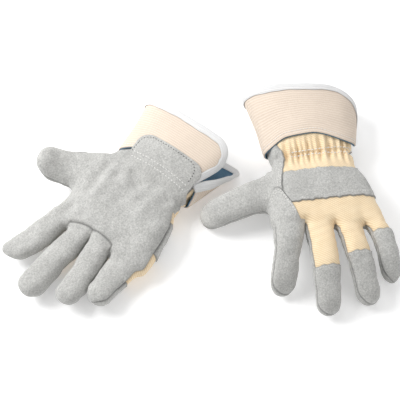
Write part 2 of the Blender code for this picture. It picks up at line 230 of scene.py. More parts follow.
GLOVES = {
    "right": dict(
        palm_up=True,
        hand_heights=((-27, 24.0), (-22, 24.0), (0, 20), (22, 21), (50, 21), (80, 17.5)),
        cuff_heights=((-80, 24.5), (-50, 24.5), (-22, 24)),
        cuff_power=2.5,
        slit_half_rim=11,
        corner_radii=(9, 30),
        near_reach=15,
        inner_seam=0.7,
        little_edge=((-50, 0), (8, 0), (25, 1.2), (50, 2.2), (90, 2.2)),
        thumb_edge=4.5,
        rim_tilt=0.0,
        digits={
            "index": ((80, -48.6), (14.0, 14.6), 69.5, -14, 2),
            "middle": ((80, -21.8), (14.0, 15.2), 89, -2.4, 4),
            "ring": ((80, 4.4), (13.6, 14.8), 75, 5.4, 5),
            "little": ((80, 36.6), (19.2, 12.0), 56, 0.5, 4),
            "thumb": ((19, -45), (25.5, 15.2), 67, 1.5, 18),
        },
        thumb_turn=-66,
        thumb_height=24,
        mid_sag=3,
        knuckles=((84, -66), (86, -35.4), (79.5, -8.2), (82, 17.6), (84, 64)),
        thumb_line=((-2, -47), (56, -57)),
    ),
    "left": dict(
        palm_up=False,
        hand_heights=((-27, 24), (-22, 24), (0, 24), (22, 25), (50, 28), (80, 30.5)),
        cuff_heights=((-80, 27.5), (-50, 26), (-22, 24)),
        cuff_power=2.1,
        slit_half_rim=8,
        corner_radii=(34, 12),
        near_reach=13,
        inner_seam=-0.1,
        little_edge=((-50, 0), (4, -1), (22, -4.8), (50, -2.2), (90, -0.8)),
        thumb_edge=0.5,
        rim_tilt=0.145,
        digits={
            "index": ((80, -40.0), (15.8, 14.2), 62, -15, -20),
            "middle": ((80, -8.5), (15.2, 13.8), 91, -4, -20),
            "ring": ((80, 21.3), (14.2, 12.8), 85, 4, -20),
            "little": ((80, 46.6), (11.0, 10.8), 67, 9, -20),
            "thumb": ((30, -45), (19.5, 14.0), 82, 0, -11),
        },
        thumb_turn=-77,
        thumb_height=23.5,
        mid_sag=-4,
        knuckles=((74, -66), (75, -24.5), (81, 7), (87, 35.8), (88, 66)),
        thumb_line=((2, -50), (56, -57)),
    ),
}


# ---------------------------------------------------------------- numbers


def smoothstep(t):
    t = np.clip(t, 0, 1)
    return t * t * (3 - 2 * t)


def mix(a, b, t):
    return a + (b - a) * t


def soft_min(a, b, k):
    h = np.maximum(k - np.abs(a - b), 0) / k
    return np.minimum(a, b) - h * h * k / 4


def soft_max(a, b, k):
    return -soft_min(-a, -b, k)


def bump(t):
    """1 at 0, falling smoothly to nothing by about 2."""
    return np.exp(-t * t)


def through(rows, x):
    """The columns of rows at each x, on a smooth curve through every row."""
    rows = np.asarray(rows, float)
    x = np.asarray(x, float)
    knots, values = rows[:, 0], rows[:, 1:]
    last = len(knots) - 1
    i = np.clip(np.searchsorted(knots, x, side="right") - 1, 0, last - 1)
    before, after = np.maximum(i - 1, 0), np.minimum(i + 2, last)
    span = knots[i + 1] - knots[i]
    t = np.clip((x - knots[i]) / span, 0, 1)
    found = []
    for column in values.T:
        low, high = column[i], column[i + 1]
        slope_low = (high - column[before]) / (knots[i + 1] - knots[before]) * span
        slope_high = (column[after] - low) / (knots[after] - knots[i]) * span
        rise = high - low
        found.append(
            low
            + t * slope_low
            + t * t * (3 * rise - 2 * slope_low - slope_high)
            + t**3 * (slope_low + slope_high - 2 * rise)
        )
    return found


def ripple(p, wavelength, seed, count=7):
    """Smooth unevenness of about unit size."""
    draw = np.random.default_rng(seed)
    total = np.zeros(len(p))
    for _ in range(count):
        way = draw.normal(size=3)
        way *= 2 * math.pi / (np.linalg.norm(way) * wavelength * draw.uniform(0.7, 1.4))
        total += np.sin(p @ way + draw.uniform(0, 2 * math.pi))
    return total / math.sqrt(count / 2)


def unit(v):
    return v / np.maximum(np.linalg.norm(v, axis=-1, keepdims=True), 1e-9)


def signed_power(v, power):
    return np.sign(v) * np.abs(v) ** power


def runs_along(path):
    """The distance along a path at each of its points."""
    return np.concatenate([[0], np.cumsum(np.linalg.norm(np.diff(path, axis=0), axis=1))])


def face_ways(points, tris):
    """Each triangle's outward way, as long as twice its area."""
    a, b, c = (points[tris[:, k]] for k in range(3))
    return np.cross(b - a, c - a)


def face_areas(points, tris):
    return np.linalg.norm(face_ways(points, tris), axis=1) / 2


# ---------------------------------------------------------------- the shape of a glove


class Digit:
    """A finger or thumb as a tapering rounded bar that also reaches back into the hand."""

    def __init__(self, name, glove):
        (x, y), self.half_widths, self.length, lean, self.rise = glove["digits"][name]
        thumb = name == "thumb"
        height = glove["thumb_height"] if thumb else through(glove["hand_heights"], x)[0]
        self.hinge = np.array([x, y, float(height)])
        turn = math.radians(glove["thumb_turn"]) if thumb else 0.0
        self.cos, self.sin = math.cos(turn), math.sin(turn)
        self.half_heights = HALF_HEIGHTS[name]
        self.lean = math.tan(math.radians(lean))
        self.sag = glove["mid_sag"]
        heights = glove["hand_heights"]
        self.root_slope = 0 if thumb else (heights[-1][1] - heights[-2][1]) / 30
        self.trim = 0 if thumb else 0.8

    def local(self, p):
        x, y, z = (p - self.hinge).T
        return x * self.cos + y * self.sin, y * self.cos - x * self.sin, z

    def plan(self, x, y):
        """The digit's own x and y in the glove's plan."""
        return np.stack([x * self.cos - y * self.sin, x * self.sin + y * self.cos], -1) + self.hinge[:2]

    def section(self, x):
        """Half width, half height, and the centre's offset sideways and up."""
        along = np.clip(x / self.length, 0, 1)
        width = mix(*self.half_widths, along) - self.trim
        height = mix(*self.half_heights, along)
        lift = self.rise * along**2 - self.sag * np.sin(math.pi * along)
        lift += self.root_slope * np.minimum(x, 0)
        return width, height, x * self.lean, lift

    def spread(self, p):
        """Where points are in the section: x, and the sideways and upward shares of its half sizes."""
        x, y, z = self.local(p)
        width, height, across, lift = self.section(x)
        return x, (y - across) / width, (z - lift) / height

    def distance(self, p):
        found = np.full(len(p), 60.0)
        x, y, z = self.local(p)
        near = (x > -ROOT_DEPTH - 22) & (x < self.length + 12) & (np.abs(z) < 46)
        near &= np.abs(y - x * self.lean) < 32
        x, y, z = x[near], y[near], z[near]
        width, height, across, lift = self.section(x)
        u = np.abs(y - across) / width + 1e-5
        v = np.abs(z - lift) / height + 1e-5
        n = DIGIT_POWER
        e = u**n + v**n
        end = np.clip((x - self.length + TIP_ROUND) / TIP_ROUND, 0, None)
        root = np.clip((-ROOT_DEPTH - x) / ROOT_ROUND, 0, None)
        size = np.sqrt(e ** (2 / n) + end**2 + root**2)
        pull = e ** (2 / n - 1) / size
        slope = (pull * u ** (n - 1) / width) ** 2 + (pull * v ** (n - 1) / height) ** 2
        slope += (end / TIP_ROUND / size) ** 2 + (root / ROOT_ROUND / size) ** 2
        found[near] = (size - 1) / np.sqrt(slope)
        return found


class Glove:
    """Everything about one glove's shape, in its own frame in millimetres."""

    def __init__(self, side):
        self.side = side
        self.spec = spec = GLOVES[side]
        self.back = -1 if spec["palm_up"] else 1  # +1 where the back of the hand is up
        self.digits = {name: Digit(name, spec) for name in spec["digits"]}
        joint = next(j for j in frame["joints"] if j["name"] == f"{side}_wrist_bend")
        self.origin = np.array(joint["pos_m"][:2]) / MM
        self.across = np.array(joint["axis"][:2]) * self.back
        self.across = self.across if self.facing_digits() else -self.across
        self.along = np.array([self.across[1], -self.across[0]])
        (x0, y0), (x1, y1) = spec["thumb_line"]
        away = np.array([y1 - y0, x0 - x1], float)
        self.thumb_way = away / np.linalg.norm(away)
        self.thumb_start = np.array([x0, y0], float)

    def facing_digits(self):
        """Whether the glove's X axis, found from this cross axis, points at the knuckles."""
        joint = next(j for j in frame["joints"] if j["name"] == f"{self.side}_middle_bend")
        reach = np.array(joint["pos_m"][:2]) / MM - self.origin
        return reach @ np.array([self.across[1], -self.across[0]]) > 0

    def place(self, p):
        """Points of the glove's frame in the row frame, in metres."""
        p = np.asarray(p, float)
        flat = self.origin + p[..., :1] * self.along + p[..., 1:2] * self.across
        return np.concatenate([flat, p[..., 2:]], -1) * MM

    def hand_section(self, x):
        low, high, half = through(HAND_STATIONS, x)
        high = high + through(self.spec["little_edge"], x)[0]
        low = low - self.spec["thumb_edge"] * smoothstep((22 - x) / 20)
        height = through(self.spec["hand_heights"], x)[0]
        power = mix(self.spec["cuff_power"], HAND_POWER, smoothstep(1 + x / 22))
        return (low + high) / 2, (high - low) / 2, height, half, power

    def knuckle_x(self, y):
        rows = np.array(self.spec["knuckles"], float)
        return np.interp(y, rows[:, 1], rows[:, 0])

    def hand_distance(self, p):
        x, y, z = p.T
        centre, width, height, half, n = self.hand_section(x)
        u = np.abs(y - centre) / width + 1e-5
        v = np.abs(z - height) / half + 1e-5
        e = u**n + v**n
        size = e ** (1 / n)
        slope = e ** (1 / n - 1) * np.sqrt((u ** (n - 1) / width) ** 2 + (v ** (n - 1) / half) ** 2)
        return soft_max((size - 1) / slope, x - self.knuckle_x(y) + 0.5, 7)

    def distance(self, p):
        fingers = [self.digits[name].distance(p) for name in FINGERS]
        near = np.minimum.reduce(fingers)
        return soft_min(soft_min(self.hand_distance(p), near, 6), self.digits["thumb"].distance(p), 13)

    def gradient(self, p, step=0.25):
        found = np.zeros_like(p)
        for axis in range(3):
            move = np.zeros(3)
            move[axis] = step
            found[:, axis] = (self.distance(p + move) - self.distance(p - move)) / (2 * step)
        return found


def surface_net(values, low):
    """The surface where values on a grid pass zero, as points and quads."""
    inside = values < 0
    shape = [n - 1 for n in values.shape]
    corners = [(i, j, k) for i in (0, 1) for j in (0, 1) for k in (0, 1)]
    near = [inside[i : i + shape[0], j : j + shape[1], k : k + shape[2]] for i, j, k in corners]
    count = sum(n.astype(np.int8) for n in near)
    mixed = (count > 0) & (count < 8)
    cells = np.argwhere(mixed)
    index = np.full(shape, -1)
    index[mixed] = np.arange(len(cells))
    total, hits = np.zeros((len(cells), 3)), np.zeros(len(cells))
    for a in corners:
        for axis in range(3):
            if a[axis]:
                continue
            b = tuple(1 if i == axis else c for i, c in enumerate(a))
            start, end = (values[tuple((cells + c).T)] for c in (a, b))
            crosses = (start < 0) != (end < 0)
            share = (start / np.where(crosses, start - end, 1))[:, None]
            total += np.where(crosses[:, None], np.array(a) + share * (np.array(b) - a), 0)
            hits += crosses
    points = low + (cells + total / hits[:, None]) * CELL
    quads = []
    for axis in range(3):
        u, v = (axis + 1) % 3, (axis + 2) % 3
        low_side = inside.take(range(shape[axis]), axis)
        high_side = inside.take(range(1, shape[axis] + 1), axis)
        for outward, changed in ((True, low_side & ~high_side), (False, high_side & ~low_side)):
            spots = np.argwhere(changed)
            for side in (u, v):
                spots = spots[(spots[:, side] > 0) & (spots[:, side] < shape[side])]
            ring = []
            for du, dv in ((-1, -1), (0, -1), (0, 0), (-1, 0)):
                shift = np.zeros(3, int)
                shift[u], shift[v] = du, dv
                ring.append(index[tuple((spots + shift).T)])
            ring = np.stack(ring, 1)
            quads.append(ring if outward else ring[:, ::-1])
    return points, np.concatenate(quads)


def neighbours_mean(points, faces):
    total, count = np.zeros_like(points), np.zeros(len(points))
    width = faces.shape[1]
    for k in range(width):
        a, b = faces[:, k], faces[:, (k + 1) % width]
        for one, other in ((a, b), (b, a)):
            np.add.at(total, one, points[other])
            np.add.at(count, one, 1)
    return total / count[:, None]


def find_skin(glove):
    """The glove's smooth surface, as points, their normals, and triangles."""
    axes = [np.arange(a, b, CELL) for a, b in zip(GRID_LOW, GRID_HIGH)]
    values = np.empty([len(a) for a in axes], float)
    yz = np.stack(np.meshgrid(axes[1], axes[2], indexing="ij"), -1).reshape(-1, 2)
    for start in range(0, len(axes[0]), GRID_BLOCK):
        xs = axes[0][start : start + GRID_BLOCK]
        p = np.concatenate([np.column_stack([np.full(len(yz), x), yz]) for x in xs])
        values[start : start + len(xs)] = glove.distance(p).reshape(len(xs), len(axes[1]), len(axes[2]))
    values[0] = values[-1] = 5
    points, quads = surface_net(values, np.array(GRID_LOW))
    for _ in range(RELAX_ROUNDS):
        points = mix(points, neighbours_mean(points, quads), RELAX_SHARE)
        slope = glove.gradient(points)
        points -= glove.distance(points)[:, None] * slope / np.maximum((slope**2).sum(1), 0.2)[:, None]
    diagonal = np.linalg.norm(points[quads[:, 0]] - points[quads[:, 2]], axis=1)
    other = np.linalg.norm(points[quads[:, 1]] - points[quads[:, 3]], axis=1)
    first = quads[diagonal <= other]
    second = quads[diagonal > other]
    halves = ((first, [0, 1, 2]), (first, [0, 2, 3]), (second, [0, 1, 3]), (second, [1, 2, 3]))
    tris = np.concatenate([some[:, corners] for some, corners in halves])
    return points, unit(glove.gradient(points)), tris


class Skin:
    """Triangles, with fields that hold a value at every point and keep it through every split."""

    def __init__(self, fields, tris):
        self.f = fields
        self.tris = tris

    def split(self, name, level=0.0):
        value = self.f[name] - level
        value[np.abs(value) < SNAP] = 0
        self.f[name] = value + level
        side = np.sign(value).astype(int)
        tris = self.tris
        ends = np.stack([tris, np.roll(tris, -1, 1)], -1)
        crossing = side[ends[..., 0]] * side[ends[..., 1]] < 0
        edges = np.sort(ends[crossing], axis=1)
        if not len(edges):
            return
        edges, which = np.unique(edges, axis=0, return_inverse=True)
        a, b = edges.T
        t = value[a] / (value[a] - value[b])
        size = len(value)
        for key, old in self.f.items():
            share = t if old.ndim == 1 else t[:, None]
            self.f[key] = np.concatenate([old, mix(old[a], old[b], share)])
        self.f[name][size:] = level
        middle = np.full(crossing.shape, -1)
        middle[crossing] = which.reshape(-1) + size
        hits = crossing.sum(1)
        made = [tris[hits == 0]]
        for i, j, o in ((0, 1, 2), (1, 2, 0), (2, 0, 1)):
            one = (hits == 1) & crossing[:, i]
            t, m = tris[one].T, middle[one].T
            made += [np.column_stack(new) for new in ((t[i], m[i], t[o]), (m[i], t[j], t[o]))]
            two = (hits == 2) & crossing[:, i] & crossing[:, o]
            t, m = tris[two].T, middle[two].T
            corners = (t[i], m[i], m[o]), (m[i], t[j], t[o]), (m[i], t[o], m[o])
            made += [np.column_stack(new) for new in corners]
        self.tris = np.concatenate(made)

    def mean(self, name):
        """A field's value at the middle of each triangle."""
        return self.f[name][self.tris].mean(1)


def vertex_normals(points, tris):
    ways, total = face_ways(points, tris), np.zeros_like(points)
    for k in range(3):
        np.add.at(total, tris[:, k], ways)
    return unit(total)


# ---------------------------------------------------------------- seams and panels

# The seam between palm and back, as shares of the half height: x, thumb side, little-finger side
SEAM_RISE = (
    (-50, -0.45, -0.45), (-5, -0.45, -0.45), (14, 0.1, -0.4), (60, 0.22, -0.45), (80, 0.3, -0.42)
)
FINGER_SEAM, LITTLE_SEAM = 0.47, -0.45  # the same for a finger's thumb side and the little finger's outside
THUMB_SEAMS = {"right": (-0.5, 0.05), "left": (-0.4, -0.05)}


def back_seam_y(x):
    """Where the leather of the thumb side ends on the back of the hand."""
    return through(((-50, -38), (-22, -35.6), (-2, -28.5), (17, -34.2), (36, -39), (90, -43)), x)[0]


def root_edge_x(y):
    """The upper edge of the leather that covers the index knuckle, as a pointed arch across Y."""
    side = y + 45
    rise = np.where(side > 0, 1.6 * side + 0.055 * side**2, 0.04 * side**2 - side)
    return 35.5 + np.sqrt(rise**2 + 9) - 3 + 0.5 * np.sin(y * 0.8)


def seam_fields(glove, p):
    """The fields, in millimetres, whose zeros are the glove's seams and cuts."""
    x, y, z = p.T
    centre, width, height, half, _ = glove.hand_section(x)
    up = glove.back * (z - height)
    thumb_side, little_side = through(SEAM_RISE, x)
    hand_seam = up - half * mix(thumb_side, little_side, smoothstep((y - centre) / width + 0.5))
    distances = np.stack([glove.digits[n].distance(p) for n in FINGERS])
    nearest = distances.argmin(0)
    finger_seam, cap = np.full(len(p), -40.0), np.full(len(p), -40.0)
    for i, name in enumerate(FINGERS):
        digit = glove.digits[name]
        here = nearest == i
        along, u, v = digit.spread(p[here])
        side = LITTLE_SEAM if name == "little" else glove.spec["inner_seam"]
        level = mix(FINGER_SEAM, side, smoothstep(u / 1.4 + 0.5))
        finger_seam[here] = (glove.back * v - level) * mix(*digit.half_heights, 0.5)
        if name in FABRIC_LENGTH:
            cap[here] = along - FABRIC_LENGTH[name] + 0.5 * np.sin(p[here, 1] * 0.7)
    past = smoothstep((x - glove.knuckle_x(y) + 9) / 18)
    dorsal = mix(hand_seam, finger_seam, past)
    thumb = (np.stack([x, y], 1) - glove.thumb_start) @ glove.thumb_way
    thumb = np.where(x < 76, thumb, -40)
    _, across, v = glove.digits["thumb"].spread(p)
    thumb_seam = (glove.back * v - mix(*THUMB_SEAMS[glove.side], smoothstep(across / 1.2 + 0.5))) * 13
    level_x = x - STRAP_TILT * (y + 32)
    strap = np.minimum(level_x - STRAP_X[0], STRAP_X[1] - level_x) + strap_waves(y)
    leather_back = back_seam_y(x) - y + 0.2 * np.sin(x * 0.7)
    base = x - glove.knuckle_x(y) + 1.2 + arch(glove, y)
    (_, low), _, (_, high) = glove.spec["knuckles"][1:4]
    return dict(
        x=x.copy(),
        up=up,
        knuckle=x - glove.knuckle_x(y),
        dorsal=dorsal,
        cap=cap,
        thumb=thumb,
        thumb_seam=thumb_seam,
        strap=strap,
        leather_back=leather_back,
        root=x - root_edge_x(y),
        base=np.where(np.abs(y - (low + high) / 2) < (high - low) / 2, base, -40),
    )


def strap_waves(y):
    """How unevenly the strap's edges are cut."""
    return 0.45 * np.sin(y * 0.42 + 1) + 0.35 * np.sin(y * 0.9)


def arch(glove, y):
    """How far the fronts of the middle and ring fingers reach into the palm."""
    total = np.zeros(len(y))
    rows = glove.spec["knuckles"]
    for (_, low), (_, high) in ((rows[1], rows[2]), (rows[2], rows[3])):
        share = (y - (low + high) / 2) / ((high - low) / 2)
        total += np.where(np.abs(share) < 1, 2.6 * np.sqrt(np.clip(1 - share**2, 0, 1)), 0)
    return total


def build_skin(glove):
    points, normals, tris = find_skin(glove)
    fields = seam_fields(glove, points)
    fields.update(p=points, n=normals)
    skin = Skin(fields, tris)
    skin.split("x", WRIST_CUT_X)
    skin.split("x", WRIST_END_X)
    for name in ("knuckle", "thumb", "dorsal", "thumb_seam"):
        skin.split(name)
    for name in ("strap", "leather_back", "root", "cap"):
        skin.split(name)
        skin.split(name, EDGE)
    skin.split("base")
    sculpt(glove, skin)
    return skin


def ledge(value, height, fade):
    """A sewn-on edge: a quick rise past a seam that dies away over a distance."""
    return height * smoothstep(value / EDGE) * np.exp(-np.maximum(value - EDGE, 0) / fade)


def gathers(p, up):
    """Folds that the elastic draws up in the back of the wrist."""
    x, y, _ = p.T
    wave = np.sin(2 * math.pi * (y / 6.8 + 0.35 * np.sin(y / 9 + 1) + 0.12 * np.sin(x / 9)))
    coarse = np.sin(2 * math.pi * (y / 14 + 0.3 * np.sin(y / 17)) + 0.05 * x)
    towards_cuff = np.exp(-(((x + 2) / 15) ** 2))
    towards_hand = np.exp(-(((x + 2) / 12) ** 2))
    reach = np.where(x < -2, towards_cuff, towards_hand)
    side = smoothstep(up / 6 + 0.8)
    folds = 2.2 * signed_power(wave, 1.3) + 1.3 * coarse
    return (folds * reach - 1.5 * bump((x + 1.5) / 2.6)) * side


def creases(p, up):
    """Folds of the palm and of the thumb's root."""
    x, y, _ = p.T
    palm = smoothstep(-up / 6)
    total = np.zeros(len(p))
    lines = (
        ((-2, 6), (48, -12), 1.3, 5.5),
        ((-6, 19), (52, 8), 0.9, 5.5),
        ((2, -37), (58, -43), 3.6, 5.5),
        ((-2, -26), (34, 2), -1.3, 6.5),
        ((1, 24), (5, 44), 1.8, 2.6),
        ((50, -30), (66, 30), 1.2, 7.0),
        ((60, -38), (90, -47), 2.6, 5.5),
    )
    for (x0, y0), (x1, y1), depth, breadth in lines:
        way = np.array([x1 - x0, y1 - y0], float)
        length = np.linalg.norm(way)
        way /= length
        along = (x - x0) * way[0] + (y - y0) * way[1]
        off = (x - x0) * -way[1] + (y - y0) * way[0] + 2.2 * np.sin(along / 9)
        ends = smoothstep(along / 12) * smoothstep((length - along) / 14)
        total -= depth * (bump(off / breadth) - 0.45 * bump((off - 1.6 * breadth) / breadth)) * ends
    return total * palm


def finger_wrinkles(glove, p):
    """Faint cross folds where a finger leaves the hand and half way along it."""
    total = np.zeros(len(p))
    for i, name in enumerate(FINGERS):
        digit = glove.digits[name]
        along, _, _ = digit.spread(p)
        near = smoothstep(1 - digit.distance(p) / 3)
        for k, (spot, depth) in enumerate(((9, 0.45), (19, 0.3), (0.52 * digit.length, 0.35))):
            wobble = 1.6 * np.sin(p[:, 1] / 5 + 2 * i + k)
            total -= depth * bump((along - spot + wobble) / 2.4) * near
    return total


def sculpt(glove, skin):
    """Raises and sinks the skin: seams, sewn-on edges, gathers, creases and soft unevenness."""
    f = skin.f
    p, n = f["p"], f["n"]
    seed = 3 if glove.side == "right" else 11
    past_hand = smoothstep((f["knuckle"] + 6) / 12)
    soft = smoothstep((f["x"] + 26) / 12)
    smooth = 0.7 * ripple(p, 46, seed) + 0.26 * ripple(p, 22, seed + 1) + 0.14 * ripple(p, 10, seed + 2)
    smooth = smooth * soft + finger_wrinkles(glove, p)
    smooth += gathers(p, f["up"]) * soft + creases(p, f["up"])
    sewn = np.where(p[:, 1] > 0, 1, past_hand)  # the thumb side of the hand has no seam along it
    groove = -0.95 * bump(f["dorsal"] / 1.1) * sewn * smoothstep((f["x"] + 10) / 14)
    groove -= 0.8 * bump(f["thumb_seam"] / 1.2) * smoothstep((f["thumb"] + 4) / 10)
    groove -= 2.1 * bump(f["base"] / 1.5) * smoothstep(-f["up"] / 5) * smoothstep((5 - f["knuckle"]) / 4)
    on_back = smoothstep(f["dorsal"] / 1.2)
    clear = smoothstep(-f["root"] / EDGE)
    on_hand = smoothstep((6 - f["knuckle"]) / 30) * smoothstep((f["up"] + 2) / 3)
    steps = np.maximum.reduce([
        ledge(f["strap"], 1.5, 60) * on_back * smoothstep(-f["leather_back"] / EDGE) * clear,
        ledge(f["leather_back"], 1.35, 9) * on_back * clear,
        ledge(f["root"], 1.9, 25) * on_hand,
        ledge(f["cap"], 1.2, 10) * on_back,
    ])
    palm_side, over_root = f["dorsal"] < 0, f["root"] > 0
    hidden = dict(
        base=(f["up"] > 0) | (f["knuckle"] > 4),
        strap=palm_side | (f["leather_back"] > 0) | over_root,
        root=(f["up"] < -2) | (f["knuckle"] > 0),
        leather_back=palm_side | over_root,
        cap=palm_side,
    )
    # the distance to the nearest seam that shows; the materials use it to paint shade along the seam grooves
    seams = [np.abs(f["dorsal"]) + 4 * (1 - sewn), np.abs(f["thumb_seam"]) + 4 * (f["thumb"] < 0)]
    seams += [np.abs(f[name]) + FAR_FROM_SEAM * mask for name, mask in hidden.items()]
    f["seam"] = np.minimum.reduce(seams)
    f["bare"] = rest_on_table(p + n * (smooth + groove)[:, None], 1.4)
    f["out"] = rest_on_table(p + n * (smooth + groove + steps)[:, None], 0.4)


def rest_on_table(p, clearance):
    """Flattens what would sink into the table."""
    flat = p.copy()
    flat[:, 2] = soft_max(p[:, 2], np.full(len(p), clearance), 2.5)
    return flat


# ---------------------------------------------------------------- pieces


def add_mesh(name, points, tris, loop_normals, rest, seam, finish):
    """A mesh object in the row frame that shades with the given normals."""
    mesh = bpy.data.meshes.new(name)
    mesh.vertices.add(len(points))
    mesh.vertices.foreach_set("co", points.astype(np.float32).ravel())
    mesh.loops.add(tris.size)
    mesh.loops.foreach_set("vertex_index", tris.astype(np.int32).ravel())
    mesh.polygons.add(len(tris))
    mesh.polygons.foreach_set("loop_start", np.arange(0, tris.size, tris.shape[1], dtype=np.int32))
    mesh.update(calc_edges=True)
    mesh.validate()
    mesh.polygons.foreach_set("use_smooth", np.ones(len(mesh.polygons), bool))
    rest_place = mesh.attributes.new("rest", "FLOAT_VECTOR", "POINT")
    rest_place.data.foreach_set("vector", rest.astype(np.float32).ravel())
    mesh.attributes.new("seam", "FLOAT", "POINT").data.foreach_set("value", seam.astype(np.float32))
    if len(mesh.loops) == len(loop_normals):
        mesh.normals_split_custom_set(loop_normals)
    mesh.materials.append(MATERIALS[finish])
    return put_in_scene(name, mesh)


def put_in_scene(name, data):
    obj = bpy.data.objects.new(name, data)
    bpy.context.scene.collection.objects.link(obj)
    return obj


def boundary(tris):
    """The directed edges that only one triangle has."""
    edges = np.concatenate([tris[:, [0, 1]], tris[:, [1, 2]], tris[:, [2, 0]]])
    size = int(tris.max()) + 1
    forward = edges[:, 0].astype(np.int64) * size + edges[:, 1]
    backward = edges[:, 1].astype(np.int64) * size + edges[:, 0]
    return edges[~np.isin(forward, backward)]


def largest_parts(tris, least=60):
    """The triangles without stray islands."""
    label = np.arange(int(tris.max()) + 1)
    while True:
        low = label[tris].min(1)
        new = label.copy()
        for k in range(3):
            np.minimum.at(new, tris[:, k], low)
        new = new[new]
        if (new == label).all():
            break
        label = new
    group = label[tris[:, 0]]
    names, counts = np.unique(group, return_counts=True)
    return tris[np.isin(group, names[counts >= least])]


def shell(glove, name, outer, inner, normals, tris, rest, seam, finish):
    """A closed piece between two surfaces that share their triangles."""
    tris = largest_parts(tris)
    used, local = np.unique(tris, return_inverse=True)
    tris = local.reshape(-1, 3)
    count = len(used)
    outer, inner, normals = outer[used], inner[used], normals[used]
    rim = boundary(tris)
    a, b = rim.T
    sides = np.concatenate([np.column_stack([a, a + count, b + count]), np.column_stack([a, b + count, b])])
    points = np.concatenate([outer, inner])
    faces = np.concatenate([tris, tris[:, ::-1] + count, sides])
    edge_ways = np.repeat(unit(face_ways(points, sides))[:, None], 3, 1)
    loops = np.concatenate([normals[tris], -normals[tris[:, ::-1]], edge_ways]).reshape(-1, 3)
    rest, seam = (np.concatenate([field[used]] * 2) for field in (rest, seam))
    return add_mesh(name, glove.place(points), faces, turn_normals(glove, loops), rest * MM, seam, finish)


def turn_normals(glove, n):
    flat = n[:, :1] * glove.along + n[:, 1:2] * glove.across
    return np.concatenate([flat, n[:, 2:]], 1)


def grid_faces(rows, columns, closed=False):
    """Triangles over a grid of points, seen from the side where columns turn left of rows."""
    i, j = np.meshgrid(np.arange(rows - 1), np.arange(columns if closed else columns - 1), indexing="ij")
    k = (j + 1) % columns
    a, b, c, d = (r * columns + s for r, s in ((i, j), (i, k), (i + 1, k), (i + 1, j)))
    quads = np.stack([a, b, c, d], -1).reshape(-1, 4)
    return np.concatenate([quads[:, [0, 1, 2]], quads[:, [0, 2, 3]]])


# ---------------------------------------------------------------- cuff


def towards_rim(x, most=1.0):
    return np.clip((CUFF_NEAR_X - x) / (CUFF_NEAR_X - CUFF_RIM_X), 0, most)


